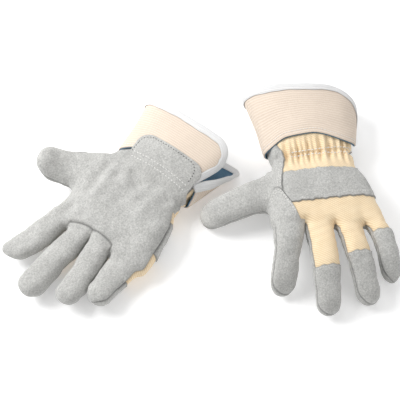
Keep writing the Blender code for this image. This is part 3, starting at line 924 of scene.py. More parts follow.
class Cuff:
    """The stiff cuff's outer surface, measured by x and by the distance round it, its run.

    The run starts at the slit's edge on the back of the hand and ends at its edge on the palm."""

    def __init__(self, glove):
        self.glove = glove
        self.power = glove.spec["cuff_power"]
        self.xs = np.linspace(CUFF_RIM_X - 4, CUFF_NEAR_X + 4, 60)
        self.shares = np.linspace(0, 1, 241)
        self.angles = np.empty((len(self.xs), len(self.shares)))
        self.lengths = np.empty(len(self.xs))
        for i, x in enumerate(self.xs):
            edge = self.slit_angle(x)
            turn = math.radians(mix(*SLIT_TURN, towards_rim(x) ** 1.2))
            angles = np.linspace(edge - turn, 2 * math.pi - edge - turn, 1200)
            run = runs_along(self.tube(np.full_like(angles, x), angles))
            self.lengths[i] = run[-1]
            self.angles[i] = np.interp(self.shares * run[-1], run, angles)

    def slit_angle(self, x):
        half_gap = mix(1.3, self.glove.spec["slit_half_rim"], towards_rim(x, 1.1) ** 2)
        half = float(through(CUFF_STATIONS, x)[2])
        return math.asin((half_gap / half) ** (self.power / 2))

    def tube(self, x, angle):
        low, high, half = through(CUFF_STATIONS, x)
        height = through(self.glove.spec["cuff_heights"], x)[0]
        c, s = np.cos(angle), np.sin(angle)
        y = (low + high) / 2 + (high - low) / 2 * signed_power(c, 2 / self.power)
        z = height + self.glove.back * half * signed_power(s, 2 / self.power)
        return np.stack([x, y, z], -1)

    def length(self, x):
        return np.interp(x, self.xs, self.lengths)

    def surface(self, x, run):
        """Points of the cuff's outside."""
        x, run = np.broadcast_arrays(np.asarray(x, float), np.asarray(run, float))
        share = np.clip(run / self.length(x), 0, 1) * (len(self.shares) - 1)
        row = np.clip((x - self.xs[0]) / (self.xs[1] - self.xs[0]), 0, len(self.xs) - 1.001)
        i, j = row.astype(int), np.minimum(share.astype(int), len(self.shares) - 2)
        low, high = (mix(self.angles[k, j], self.angles[k, j + 1], share - j) for k in (i, i + 1))
        angle = mix(low, high, row - i)
        return self.flare(self.tube(x, angle), x, run)

    def flare(self, p, x, run):
        """The way the two panels part at the slit, and the slight waviness of the stiff cloth."""
        t = towards_rim(x, 1.1)
        back_edge = smoothstep(1 - run / 42)
        palm_edge = smoothstep(1 - (self.length(x) - run) / 42)
        p = p.copy()
        if self.glove.back < 0:
            p[..., 1] += 8.5 * t**1.3 * back_edge - 1.5 * t * palm_edge
            p[..., 2] += -7.5 * t * back_edge + 1.0 * t * palm_edge
        else:
            p[..., 1] += 2.5 * t * back_edge
            p[..., 2] += -3.5 * t * back_edge - 1.0 * t * palm_edge
        height = through(self.glove.spec["cuff_heights"], x)[0]
        on_back = smoothstep(self.glove.back * (p[..., 2] - height) / 16 + 0.75)
        little_side = smoothstep((p[..., 1] - 2) / 46)
        thumb_side = smoothstep((-22 - p[..., 1]) / 26)
        reach = self.glove.spec["near_reach"] * on_back * little_side + 8 * thumb_side
        p[..., 0] += reach * smoothstep(1 - t) ** 1.5
        p[..., 0] += self.glove.spec["rim_tilt"] * p[..., 1] * t
        wave = 0.45 * ripple(p.reshape(-1, 3), 38, 21).reshape(t.shape) * smoothstep(t * 3)
        return p + wave[..., None] * np.array([0, 0.4, 1.0])

    def at(self, x, run, out):
        """Points this far off the cuff's outside, and the way out."""
        h = 0.4
        x, run, out = np.broadcast_arrays(*(np.asarray(v, float) for v in (x, run, out)))
        here = self.surface(x, run)
        along = self.surface(x + h, run) - self.surface(x - h, run)
        width = self.length(x)
        inside = np.clip(run, h, width - h)
        round_ = self.surface(x, inside + h) - self.surface(x, inside - h)
        normal = unit(np.cross(along, round_))
        height = through(self.glove.spec["cuff_heights"], x)[0]
        outward = here - np.stack([here[..., 0], np.full_like(height, 3), height], -1)
        normal *= np.sign((normal * outward).sum(-1, keepdims=True))
        beyond = np.where(run < 0, run, np.maximum(run - width, 0))
        here = here + unit(round_) * beyond[..., None]
        p = here + normal * out[..., None]
        p[..., 2] = soft_max(p[..., 2], np.full(p.shape[:-1], 0.9) - np.minimum(out, 0) * 0.8, 1.5)
        return p, normal

    def inset(self, x, corner):
        """How far a rounded corner pulls the panel's edge in at x."""
        radius = self.glove.spec["corner_radii"][corner]
        depth = np.clip(radius - (x - CUFF_RIM_X), 0, radius)
        return radius - np.sqrt(np.maximum(radius**2 - depth**2, 0))


def outline(cuff, spacing=1.6):
    """The cuff's bound edge: up the back panel's slit edge, round the rim and down the palm panel's, as
    x, distance round, and the way inward from the edge."""
    rows = []
    for corner, radius in enumerate(cuff.glove.spec["corner_radii"]):
        straight = np.arange(CUFF_NEAR_X + 0.6, CUFF_RIM_X + radius, -spacing)
        side = [(x, 0.0, 0.0, 1.0) for x in straight]
        for turn in np.linspace(0, math.pi / 2, max(6, int(radius * 1.57 / spacing))):
            c, s = math.cos(turn), math.sin(turn)
            side.append((CUFF_RIM_X + radius - radius * s, radius - radius * c, s, c))
        side = np.array(side)
        if corner:
            run = cuff.length(side[:, 0]) - side[:, 1]
            side = np.column_stack([side[:, 0], run, side[:, 2], -side[:, 3]])[::-1]
        rows.append(side)
    start, end = rows[0][-1, 1], rows[1][0, 1]
    runs = np.linspace(start, end, int((end - start) / spacing))[1:-1]
    rim = np.column_stack([np.full(len(runs), CUFF_RIM_X), runs, np.ones(len(runs)), np.zeros(len(runs))])
    return np.concatenate([rows[0], rim, rows[1]])


def cuff_sheet(glove, cuff, name, outs, near_x, edge, finish):
    """One cloth of the cuff, between two distances from its outside."""
    near_rim = CUFF_RIM_X + 12
    by_rim = near_rim - 12 * np.sin(np.linspace(0.15, 1.5708, 9))
    xs = np.concatenate([np.linspace(near_x, near_rim, 30), by_rim]).clip(CUFF_RIM_X + edge, None)
    columns = 150
    share = np.linspace(0, 1, columns)
    x = np.repeat(xs[:, None], columns, 1)
    low = cuff.inset(xs, 0) + edge
    high = cuff.length(xs) - cuff.inset(xs, 1) - edge
    run = low[:, None] + (high - low)[:, None] * share
    outer, normal = cuff.at(x, run, outs[0])
    inner, _ = cuff.at(x, run, outs[1])
    faces = grid_faces(len(xs), columns)
    rest = np.stack([x, run, np.zeros_like(x)], -1)
    outer, inner, normal, rest = (rows.reshape(-1, 3) for rows in (outer, inner, normal, rest))
    if (vertex_normals(outer, faces) * normal).sum() < 0:
        faces = faces[:, ::-1]
    shade, seam = vertex_normals(outer, faces), np.full(len(rest), FAR_FROM_SEAM)
    piece = shell(glove, name, outer, inner, shade, faces, rest, seam, finish)
    depth = near_x - CUFF_RIM_X + glove.spec["near_reach"]
    flat = float(cuff.length(CUFF_RIM_X)) * MM, depth * MM
    return piece, dict(flat=flat, held="folded", area=float(face_areas(outer, faces).sum()) * MM**2)


def sweep(glove, name, centres, profiles, finish, runs):
    """A closed bar: one loop of profile points at each stop along a path."""
    rows, columns = profiles.shape[:2]
    points = profiles.reshape(-1, 3)
    faces = grid_faces(rows, columns, closed=True)
    away = points - np.repeat(centres, columns, 0)
    outward = (face_ways(points, faces) * away[faces[:, 0]]).sum() >= 0
    fan = np.array([[0, k + 1, k] for k in range(1, columns - 1)])
    last = fan[:, [0, 2, 1]] + (rows - 1) * columns
    faces = np.concatenate([faces, fan, last])
    if not outward:
        faces = faces[:, ::-1]
    rest = np.zeros((rows, columns, 3))
    rest[..., 0], rest[..., 1] = runs[:, None], np.arange(columns) * 1.2
    return whole_mesh(glove, name, points, faces, rest.reshape(-1, 3), finish)


def whole_mesh(glove, name, points, faces, rest, finish):
    """A smooth closed mesh, given in the glove's frame."""
    loops = turn_normals(glove, vertex_normals(points, faces)[faces].reshape(-1, 3))
    seam = np.full(len(points), FAR_FROM_SEAM)
    return add_mesh(name, glove.place(points), faces, loops, rest * MM, seam, finish)


# The tape's section where it is folded over the edge: how far in, in tape widths, and how far out in mm
TAPE_SECTION = (
    (1.0, 0.15), (1.0, 0.95), (0.45, 1.0), (0.02, 0.95), (-0.12, 0.35), (-0.17, -0.6), (-0.17, -1.6),
    (-0.12, -2.55), (0.02, -3.0), (0.45, -3.05), (1.0, -3.0), (1.0, -2.3), (0.45, -2.25), (0.06, -2.2),
    (0.0, -1.9), (-0.02, -1.0), (0.0, -0.2), (0.06, 0.1), (0.45, 0.12),
)


def binding(glove, cuff):
    """The white tape round the cuff's edge, and the path that it follows."""
    path = outline(cuff)
    x, run, in_x, in_run = path.T
    along = runs_along(path[:, :2])
    width = TAPE_WIDTH + 0.35 * np.sin(along / 7.0) + 0.2 * np.sin(along / 2.9)
    columns = []
    for deep, out in TAPE_SECTION:
        d = deep * width if deep > 0.3 else deep * TAPE_WIDTH
        columns.append(cuff.at(x + in_x * d, run + in_run * d, out)[0])
    middle, _ = cuff.at(x, run, -(CANVAS + LINING + 0.1) / 2)
    name = f"{glove.side}_cuff_tape"
    return sweep(glove, name, middle, np.stack(columns, 1), "white_tape", along), path


# ---------------------------------------------------------------- stitches


# The rings of one stitch: where along its length, how fat, and how far up in radii
RINGS = ((-0.5, 0.35, -0.5), (-0.34, 0.9, 0.15), (0, 1.0, 0.42), (0.34, 0.9, 0.15), (0.5, 0.35, -0.5))


def stitch_row(path, normals, pitch, length, radius):
    """Points and triangles of one row of stitches that lie on a surface along a path."""
    run = runs_along(path)
    stops = np.arange(pitch / 2, run[-1], pitch)

    def read(rows, shift=0.0):
        return np.stack([np.interp(stops + shift, run, rows[:, k]) for k in range(3)], 1)

    at, way = read(path), unit(read(path, pitch / 4) - read(path, -pitch / 4))
    up = unit(read(normals))
    up = unit(up - way * (up * way).sum(1, keepdims=True))
    side = np.cross(way, up)
    sides = 6
    points = []
    for along, fat, lift in RINGS:
        for turn in np.arange(sides) * (2 * math.pi / sides):
            points.append(
                at
                + way * (along * length)
                + side * (math.cos(turn) * radius * fat)
                + up * (math.sin(turn) * radius * fat + lift * radius)
            )
    points = np.stack(points, 1)
    fan = np.array([[0, k, k + 1] for k in range(1, sides - 1)])
    last = fan[:, [0, 2, 1]] + (len(RINGS) - 1) * sides
    faces = np.concatenate([grid_faces(len(RINGS), sides, closed=True), fan, last])
    first = np.arange(len(at)) * points.shape[1]
    return points.reshape(-1, 3), (faces[None] + first[:, None, None]).reshape(-1, 3)


def stitches(glove, name, rows, finish):
    """One object of several stitch rows, each (path, normals, (pitch, length, radius))."""
    points, faces, start = [], [], 0
    for path, normals, sizes in rows:
        p, t = stitch_row(path, normals, *sizes)
        points.append(p)
        faces.append(t + start)
        start += len(p)
    points, faces = np.concatenate(points), np.concatenate(faces)
    corner = points[faces]
    volume = (corner[:, 0] * np.cross(corner[:, 1], corner[:, 2])).sum()
    return whole_mesh(glove, name, points, faces if volume > 0 else faces[:, ::-1], points, finish)


class Surface:
    """Finds places on a finished skin for stitches to lie."""

    def __init__(self, points, tris):
        self.tree = BVHTree.FromPolygons(points.tolist(), tris.tolist())

    def read(self, hits, sink=0.0):
        found = [(place, normal) for place, normal, _, _ in hits if place is not None]
        places, normals = np.array(found).transpose(1, 0, 2)
        return places - normals * sink, smooth_rows(normals)

    def onto(self, rough):
        """The nearest places to rough points."""
        return self.read(self.tree.find_nearest(Vector(spot)) for spot in rough)

    def under(self, xy, from_above, sink=0.0):
        """Places straight below or above points of the plan. Passes over what misses the surface."""
        start, way = (90.0, -1) if from_above else (-30.0, 1)
        way = Vector((0, 0, way))
        return self.read((self.tree.ray_cast(Vector((x, y, start)), way) for x, y in xy), sink)


def smooth_rows(v):
    for _ in range(3):
        v = np.concatenate([v[:1], (v[:-2] + 2 * v[1:-1] + v[2:]) / 4, v[-1:]])
    return unit(v)


def line(*corners, step=0.7):
    """Points along straight lines between corners of the plan."""
    rows = []
    for a, b in zip(corners[:-1], corners[1:]):
        a, b = np.array(a, float), np.array(b, float)
        count = max(2, int(np.linalg.norm(b - a) / step))
        rows.append(a + (b - a) * np.linspace(0, 1, count)[:, None])
    return np.concatenate(rows)


# ---------------------------------------------------------------- materials


class Nodes:
    """A small writer of node trees."""

    def __init__(self, name):
        self.material = bpy.data.materials.new(name)
        self.material.use_nodes = True
        self.tree = self.material.node_tree
        self.shader = self.tree.nodes["Principled BSDF"]

    def add(self, kind, inputs=(), **settings):
        """A node with these settings, whose inputs take a link, a number, a vector or a colour."""
        node = self.tree.nodes.new(kind)
        for key, value in settings.items():
            setattr(node, key, value)
        for key, value in dict(inputs).items():
            if isinstance(value, bpy.types.NodeSocket):
                self.tree.links.new(value, node.inputs[key])
            else:
                node.inputs[key].default_value = value
        return node

    def rest(self, scale=(1, 1, 1), turn=(0, 0, 0)):
        place = self.add("ShaderNodeAttribute", attribute_name="rest").outputs["Vector"]
        return self.add("ShaderNodeMapping", {0: place, 2: turn, 3: scale}).outputs[0]

    def seam(self):
        return self.add("ShaderNodeAttribute", attribute_name="seam").outputs["Fac"]

    def noise(self, vector, scale, detail=3.0, roughness=0.6):
        inputs = {0: vector, "Scale": scale, "Detail": detail, "Roughness": roughness}
        return self.add("ShaderNodeTexNoise", inputs).outputs["Fac"]

    def wave(self, vector, scale, distortion, detail_scale):
        inputs = {0: vector, "Scale": scale, "Distortion": distortion, "Detail Scale": detail_scale}
        return self.add("ShaderNodeTexWave", inputs).outputs["Fac"]

    def math(self, operation, a, b):
        return self.add("ShaderNodeMath", {0: a, 1: b}, operation=operation).outputs[0]

    def sum(self, a, share_a, b, share_b):
        return self.math("ADD", self.math("MULTIPLY", a, share_a), self.math("MULTIPLY", b, share_b))

    def remap(self, value, *limits):
        return self.add("ShaderNodeMapRange", {0: value, **dict(enumerate(limits, 1))}).outputs[0]

    def blend(self, factor, a, b):
        a, b = ((*c, 1) if isinstance(c, tuple) else c for c in (a, b))
        return self.add("ShaderNodeMix", {0: factor, 6: a, 7: b}, data_type="RGBA").outputs[2]

    def finish(self, colour, height, distance, roughness, sheen):
        self.tree.links.new(colour, self.shader.inputs["Base Color"])
        bumps = self.add("ShaderNodeBump", {"Height": height, "Strength": 1.0, "Distance": distance})
        self.tree.links.new(bumps.outputs[0], self.shader.inputs["Normal"])
        for key, value in (
            ("Roughness", roughness),
            ("Specular IOR Level", 0.2),
            ("Sheen Weight", sheen),
            ("Sheen Roughness", 0.5),
        ):
            self.shader.inputs[key].default_value = value
        return self.material


def suede():
    """Split leather: a short nap that lies in patches lighter and darker, with painted shade that darkens it along the
    seams' grooves.
    """
    m = Nodes("grey_leather")
    here = m.rest()
    blotch = m.noise(here, 55, 4.0, 0.62)
    nap = m.noise(here, 620, 4.0, 0.75)
    fibre = m.noise(m.rest(scale=(1, 2.0, 1.4)), 1300, 2.0, 0.75)
    tone = m.remap(m.sum(blotch, 0.24, nap, 0.76), 0.36, 0.64, 0.0, 1.0)
    colour = m.blend(tone, (0.38, 0.38, 0.365), (0.70, 0.695, 0.67))
    speck = m.remap(fibre, 0.54, 0.74, 0.0, 0.5)
    colour = m.blend(speck, colour, (0.25, 0.25, 0.24))
    # painted shade: the leather darkens towards each seam, standing in for the shade that falls in the seam's groove
    colour = m.blend(m.remap(m.seam(), 0.2, 1.6, 0.65, 0.0), colour, (0.16, 0.16, 0.155))
    return m.finish(colour, m.sum(nap, 0.7, fibre, 0.3), 0.0016, 0.95, 0.25)


def drill():
    """Cotton drill: a fine diagonal twill, with painted shade that darkens it along the seams' grooves."""
    m = Nodes("cream_drill")
    twill = m.wave(m.rest(turn=(0, 0, math.radians(38))), 155, 0.6, 1.4)
    weft = m.wave(m.rest(turn=(0, 0, math.radians(-52))), 260, 0.8, 1.2)
    uneven = m.noise(m.rest(), 120, 3.0)
    colour = m.blend(twill, (0.80, 0.61, 0.385), (0.94, 0.77, 0.53))
    colour = m.blend(m.remap(uneven, 0.35, 0.65, 0.0, 0.22), colour, (0.96, 0.83, 0.62))
    # painted shade: the drill darkens towards each seam, standing in for the shade that falls in the seam's groove
    colour = m.blend(m.remap(m.seam(), 0.1, 1.3, 0.45, 0.0), colour, (0.40, 0.31, 0.19))
    return m.finish(colour, m.sum(twill, 0.7, weft, 0.3), 0.0004, 0.88, 0.15)


def canvas():
    """Stiff coated canvas with faint ribs round the cuff."""
    m = Nodes("cuff_canvas")
    ribs = m.wave(m.rest(), 125, 0.5, 2.0)
    threads = m.wave(m.rest(turn=(0, 0, math.radians(90))), 300, 0.8, 1.5)
    uneven = m.noise(m.rest(), 90, 4.0)
    colour = m.blend(ribs, (0.72, 0.60, 0.49), (0.82, 0.71, 0.61))
    colour = m.blend(m.remap(uneven, 0.35, 0.65, 0.0, 0.3), colour, (0.85, 0.73, 0.61))
    return m.finish(colour, m.sum(ribs, 0.6, threads, 0.4), 0.0004, 0.82, 0.1)


def plain_weave(name, dark, light, scale, distance, roughness):
    """A plain woven cloth: warp and weft cross."""
    m = Nodes(name)
    warp = m.wave(m.rest(), scale, 0.5, 1.5)
    weft = m.wave(m.rest(turn=(0, 0, math.radians(90))), scale, 0.5, 1.5)
    weave = m.math("MULTIPLY", warp, weft)
    uneven = m.math("MULTIPLY", m.noise(m.rest(), 150), 0.5)
    colour = m.blend(m.remap(m.math("ADD", weave, uneven), 0.1, 1.1, 0.0, 1.0), dark, light)
    return m.finish(colour, weave, distance, roughness, 0.1)


def thread(name, dark, light):
    m = Nodes(name)
    twist = m.wave(m.rest(turn=(0.4, 0.3, 0.8)), 700, 1.0, 1.0)
    return m.finish(m.blend(twist, dark, light), twist, 0.0001, 0.7, 0.1)


MATERIALS = {"grey_leather": suede(), "cream_drill": drill(), "cuff_canvas": canvas()}
for weave in (
    ("blue_lining", (0.085, 0.175, 0.27), (0.155, 0.285, 0.40), 420, 0.0003, 0.8),
    ("white_tape", (0.80, 0.80, 0.80), (0.95, 0.95, 0.95), 480, 0.0003, 0.75),
    ("palm_cotton", (0.66, 0.63, 0.56), (0.80, 0.78, 0.72), 380, 0.0004, 0.95),
    ("elastic", (0.70, 0.69, 0.65), (0.85, 0.84, 0.80), 300, 0.0005, 0.8),
):
    MATERIALS[weave[0]] = plain_weave(*weave)
for yarn in (
    ("pale_thread", (0.72, 0.71, 0.68), (0.90, 0.89, 0.86)),
    ("grey_thread", (0.09, 0.09, 0.09), (0.17, 0.17, 0.165)),
    ("white_thread", (0.84, 0.83, 0.81), (0.96, 0.95, 0.93)),
):
    MATERIALS[yarn[0]] = thread(*yarn)


# ---------------------------------------------------------------- one glove


def blend_over(glove, obj, body, start, end):
    points = glove.place(np.array([start, end], float))
    hand, other = f"{glove.side}_hand", f"{glove.side}_{body}"
    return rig.blend(obj, hand, other, start=tuple(points[0]), end=tuple(points[1]))


def wrist_blend(glove, obj):
    return blend_over(glove, obj, "cuff", (WRIST_CUT_X, 0, WRIST_Z), (-WRIST_CUT_X, 0, WRIST_Z))


def finger_blend(glove, obj, name):
    rows = glove.spec["knuckles"]
    i = FINGERS.index(name)
    (x0, y0), (x1, y1) = rows[i], rows[i + 1]
    if name in ("index", "little"):
        inner = rows[1] if name == "index" else rows[3]
        way, start = np.array([1.0, 0]), np.array([max(x0, x1), inner[1]])
    else:
        way = np.array([y1 - y0, x0 - x1]) / math.hypot(y1 - y0, x1 - x0)
        start = np.array([x0, y0])
    return blend_over(glove, obj, name, (*start, DIGIT_Z), (*(start + way * FINGER_BEND), DIGIT_Z))


def thumb_blend(glove, obj):
    start = glove.thumb_start
    end = start + glove.thumb_way * THUMB_BEND
    return blend_over(glove, obj, "thumb", (*start, DIGIT_Z), (*end, DIGIT_Z))


def ride_hand(glove, obj):
    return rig.ride(obj, f"{glove.side}_hand")


def ride_cuff(glove, obj):
    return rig.ride(obj, f"{glove.side}_cuff")


def panel(glove, skin, name, mask, thickness, finish, deeper=0.0):
    """A piece cut from the skin, sunk below it by deeper."""
    f = skin.f
    outer = f["bare"] - f["n"] * deeper if deeper else f["out"]
    inner = f["bare"] - f["n"] * (thickness + deeper)
    inner[:, 2] = np.maximum(inner[:, 2], outer[:, 2].clip(None, 2.0) + 0.25 * thickness)
    name = f"{glove.side}_{name}"
    return shell(glove, name, outer, inner, f["shade"], skin.tris[mask], f["p"], f["seam"], finish)


def flat_cut(skin, mask, slices=6):
    """The flat cut of a panel, in metres: its widest girth, its length along the hand and its area."""
    points, tris = skin.f["out"], skin.tris[mask]
    x, area = points[tris, 0], face_areas(points, tris)
    low, high = x.min(), x.max()
    share = np.histogram(x.mean(1), slices, (low, high), weights=area)[0]
    girth = share.max() / ((high - low) / slices)
    return dict(flat=(float(girth) * MM, float(high - low) * MM), area=float(area.sum()) * MM**2)


def done(obj, slot, *nodes):
    if nodes:
        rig.replaces(obj, *nodes)
    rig.slot(obj, slot)
    return obj


def build_glove(side):
    glove = Glove(side)
    skin = build_skin(glove)
    f = skin.f
    f["shade"] = vertex_normals(f["out"], skin.tris)
    x, up, knuckle = (skin.mean(name) for name in ("x", "up", "knuckle"))
    thumb = (skin.mean("thumb") > 0) & (x > WRIST_CUT_X)
    middle = f["p"][skin.tris].mean(1)
    nearest = np.stack([glove.digits[n].distance(middle) for n in FINGERS]).argmin(0)
    finger = (knuckle > 0) & ~thumb
    rest = ~finger & ~thumb
    dorsal = skin.mean("dorsal") > 0
    over_back = dorsal & (skin.mean("leather_back") < 0)
    base = (skin.mean("base") > 0) & (up < 0) & rest & (x > 50)
    root = (skin.mean("root") > 0) & (up > -2) & rest & (middle[:, 1] < -22)
    strap = (skin.mean("strap") > 0) & over_back & rest & ~root
    wrist = (x < WRIST_CUT_X) & (x > WRIST_END_X)
    in_hand = (x > WRIST_CUT_X) & rest & ~base
    cotton = over_back & ~root & ~strap
    inside = in_hand & ~dorsal & (up < -2) & (knuckle < -4) & (skin.mean("thumb") < -6)

    def cut(name, node, mask, move=ride_hand, cloth="grey_leather", deeper=0.0, sheet=None):
        thickness = THICKNESS[cloth]
        piece = move(glove, panel(glove, skin, name, mask, thickness, cloth, deeper))
        done(piece, cloth, f"{side}_{node}")
        if sheet:
            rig.sheet(piece, **flat_cut(skin, mask), **sheet)

    cut("palm", "palm_leather", in_hand & ~cotton & ~strap & ~root)
    cut("back", "back_drill", in_hand & cotton, cloth="cream_drill")
    cut("strap", "knuckle_strap", strap, sheet=dict(held="stretched"))
    cut("index_knuckle", "index_root", root)
    laid = dict(held="laid", rests_on=[f"{side}_palm"])
    cut("palm_inside", "palm_lining", inside, cloth="palm_cotton", deeper=LEATHER + 0.4, sheet=laid)
    capped = skin.mean("cap") > 0
    for i, name in enumerate(FINGERS):
        mine = finger & (nearest == i)
        parts = {"front": mine & ~dorsal}
        if name in ("middle", "ring"):
            (_, low), (_, high) = glove.spec["knuckles"][i : i + 2]
            parts["front"] |= base & (middle[:, 1] > low) & (middle[:, 1] < high)
        if name == "index":
            parts["back"] = mine & dorsal
        else:
            parts["back_drill"] = mine & dorsal & ~capped
            parts["tip"] = mine & dorsal & capped
        for part, mask in parts.items():
            cloth = "cream_drill" if part == "back_drill" else "grey_leather"
            bend = partial(finger_blend, name=name)
            cut(f"{name}_{part}_skin", f"{name}_{part}", mask, bend, cloth)
    front = skin.mean("thumb_seam") < 0
    cut("thumb_front_skin", "thumb_front", thumb & front, thumb_blend)
    cut("thumb_back_skin", "thumb_back", thumb & ~front, thumb_blend)
    drawn = dict(held="gathered")
    cut("wrist_back", "wrist_drill", wrist & cotton, wrist_blend, "cream_drill", sheet=drawn)
    cut("wrist_side", "wrist_leather", wrist & ~cotton, wrist_blend)
    band = wrist & cotton & (x > -7) & (x < 3) & (up > 3)
    cut("wrist_band", "wrist_elastic", band, wrist_blend, "elastic", DRILL + 0.5)

    cuff = Cuff(glove)
    top = -CANVAS - 0.1
    outside, beneath = f"{side}_cuff_cloth", f"{side}_cuff_inside"
    for name, node, outs, near_x, edge, cloth, below in (
        (outside, "cuff_canvas", (0, -CANVAS), CUFF_NEAR_X, 0.3, "cuff_canvas", ()),
        (beneath, "cuff_lining", (top, top - LINING), CUFF_NEAR_X + 0.5, 0.4, "blue_lining", [outside]),
    ):
        piece, flat = cuff_sheet(glove, cuff, name, outs, near_x, edge, cloth)
        done(ride_cuff(glove, piece), cloth, f"{side}_{node}")
        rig.sheet(piece, rests_on=below, **flat)
    piece, path = binding(glove, cuff)
    done(ride_cuff(glove, piece), "white_tape", f"{side}_cuff_binding")
    build_stitches(glove, skin, cuff, build_tongue(glove, skin, cuff), path)


# The tongue's outline in the plan: edges at y, its end at x, and the radius of its corners
TONGUE_LOW, TONGUE_HIGH, TONGUE_END, TONGUE_RADIUS = -31.5, 43.5, -41.5, 14


def build_tongue(glove, skin, cuff):
    """The end of the palm's leather, which lies on the outside of the cuff as a rounded patch."""
    f = skin.f
    x, y, z = f["p"].T
    centre, width, height, half, n = glove.hand_section(x)
    c = signed_power(np.clip((y - centre) / width, -1, 1), n / 2)
    s = signed_power(glove.back * (z - height) / half, n / 2)
    angle = np.arctan2(s, c) % (2 * math.pi)
    # the share of the way round the cuff at the same angle
    near = x < WRIST_CUT_X + 1
    rows = np.clip((x - cuff.xs[0]) / (cuff.xs[1] - cuff.xs[0]), 0, len(cuff.xs) - 1).round().astype(int)
    share = np.empty(len(x))
    for i in np.unique(rows[near]):
        here = near & (rows == i)
        share[here] = np.interp(angle[here], cuff.angles[i], cuff.shares)
    x_near = x[near]
    last_x = CUFF_NEAR_X + 3.9
    spots, _ = cuff.at(np.clip(x_near, CUFF_RIM_X, last_x), share[near] * cuff.length(x_near), PROUD)
    spots[:, 0] = x_near
    lift = PROUD * smoothstep((WRIST_CUT_X - x_near) / 9)
    start = f["bare"][near] + f["n"][near] * lift[:, None]
    target = f["out"].copy()
    target[near] = mix(start, spots, smoothstep(x_near / CUFF_NEAR_X)[:, None])
    # the outline is a rounded rectangle that widens towards the palm
    dx = np.maximum(TONGUE_END + TONGUE_RADIUS - x, 0)
    dy = np.maximum(np.maximum(TONGUE_LOW + TONGUE_RADIUS - y, y - TONGUE_HIGH + TONGUE_RADIUS), 0)
    inside = TONGUE_RADIUS - np.hypot(dx, dy) + 9 * smoothstep((x + 16) / 24)
    tongue = np.where(f["up"] < 0, inside, -9)
    part = Skin(dict(p=f["p"], out=target, tongue=tongue, x=x.copy(), up=f["up"]), skin.tris)
    part.split("tongue")
    part.split("tongue", 0.9)
    g = part.f
    mask = (part.mean("tongue") > 0) & (part.mean("x") < WRIST_CUT_X) & (part.mean("up") < 0)
    tris = part.tris[mask]
    shade = vertex_normals(g["out"], tris)
    meets_palm = np.flatnonzero(x > WRIST_CUT_X - 0.05)
    shade[meets_palm] = f["shade"][meets_palm]
    rounding = 0.8 * (1 - smoothstep(g["tongue"] / 0.9))
    outer = g["out"] - shade * (rounding * smoothstep((8 - g["x"]) / 4))[:, None]
    outer = rest_on_table(outer, 0.3)
    inner = outer - shade * (LEATHER * 0.9 - rounding)[:, None]
    inner[:, 2] = np.maximum(inner[:, 2], outer[:, 2].clip(None, 1.6) + 0.3)
    seam, name = np.full(len(g["x"]), FAR_FROM_SEAM), f"{glove.side}_tongue"
    piece = shell(glove, name, outer, inner, shade, tris, g["p"], seam, "grey_leather")
    done(wrist_blend(glove, piece), "grey_leather", f"{glove.side}_pulse_patch")
    return outer, tris


def quarter_turn(x, y, across, along):
    """A rounded corner's stops in the plan."""
    turns = np.linspace(0, math.pi / 2, 14)
    return np.column_stack([x + across(turns), y + along(turns)])


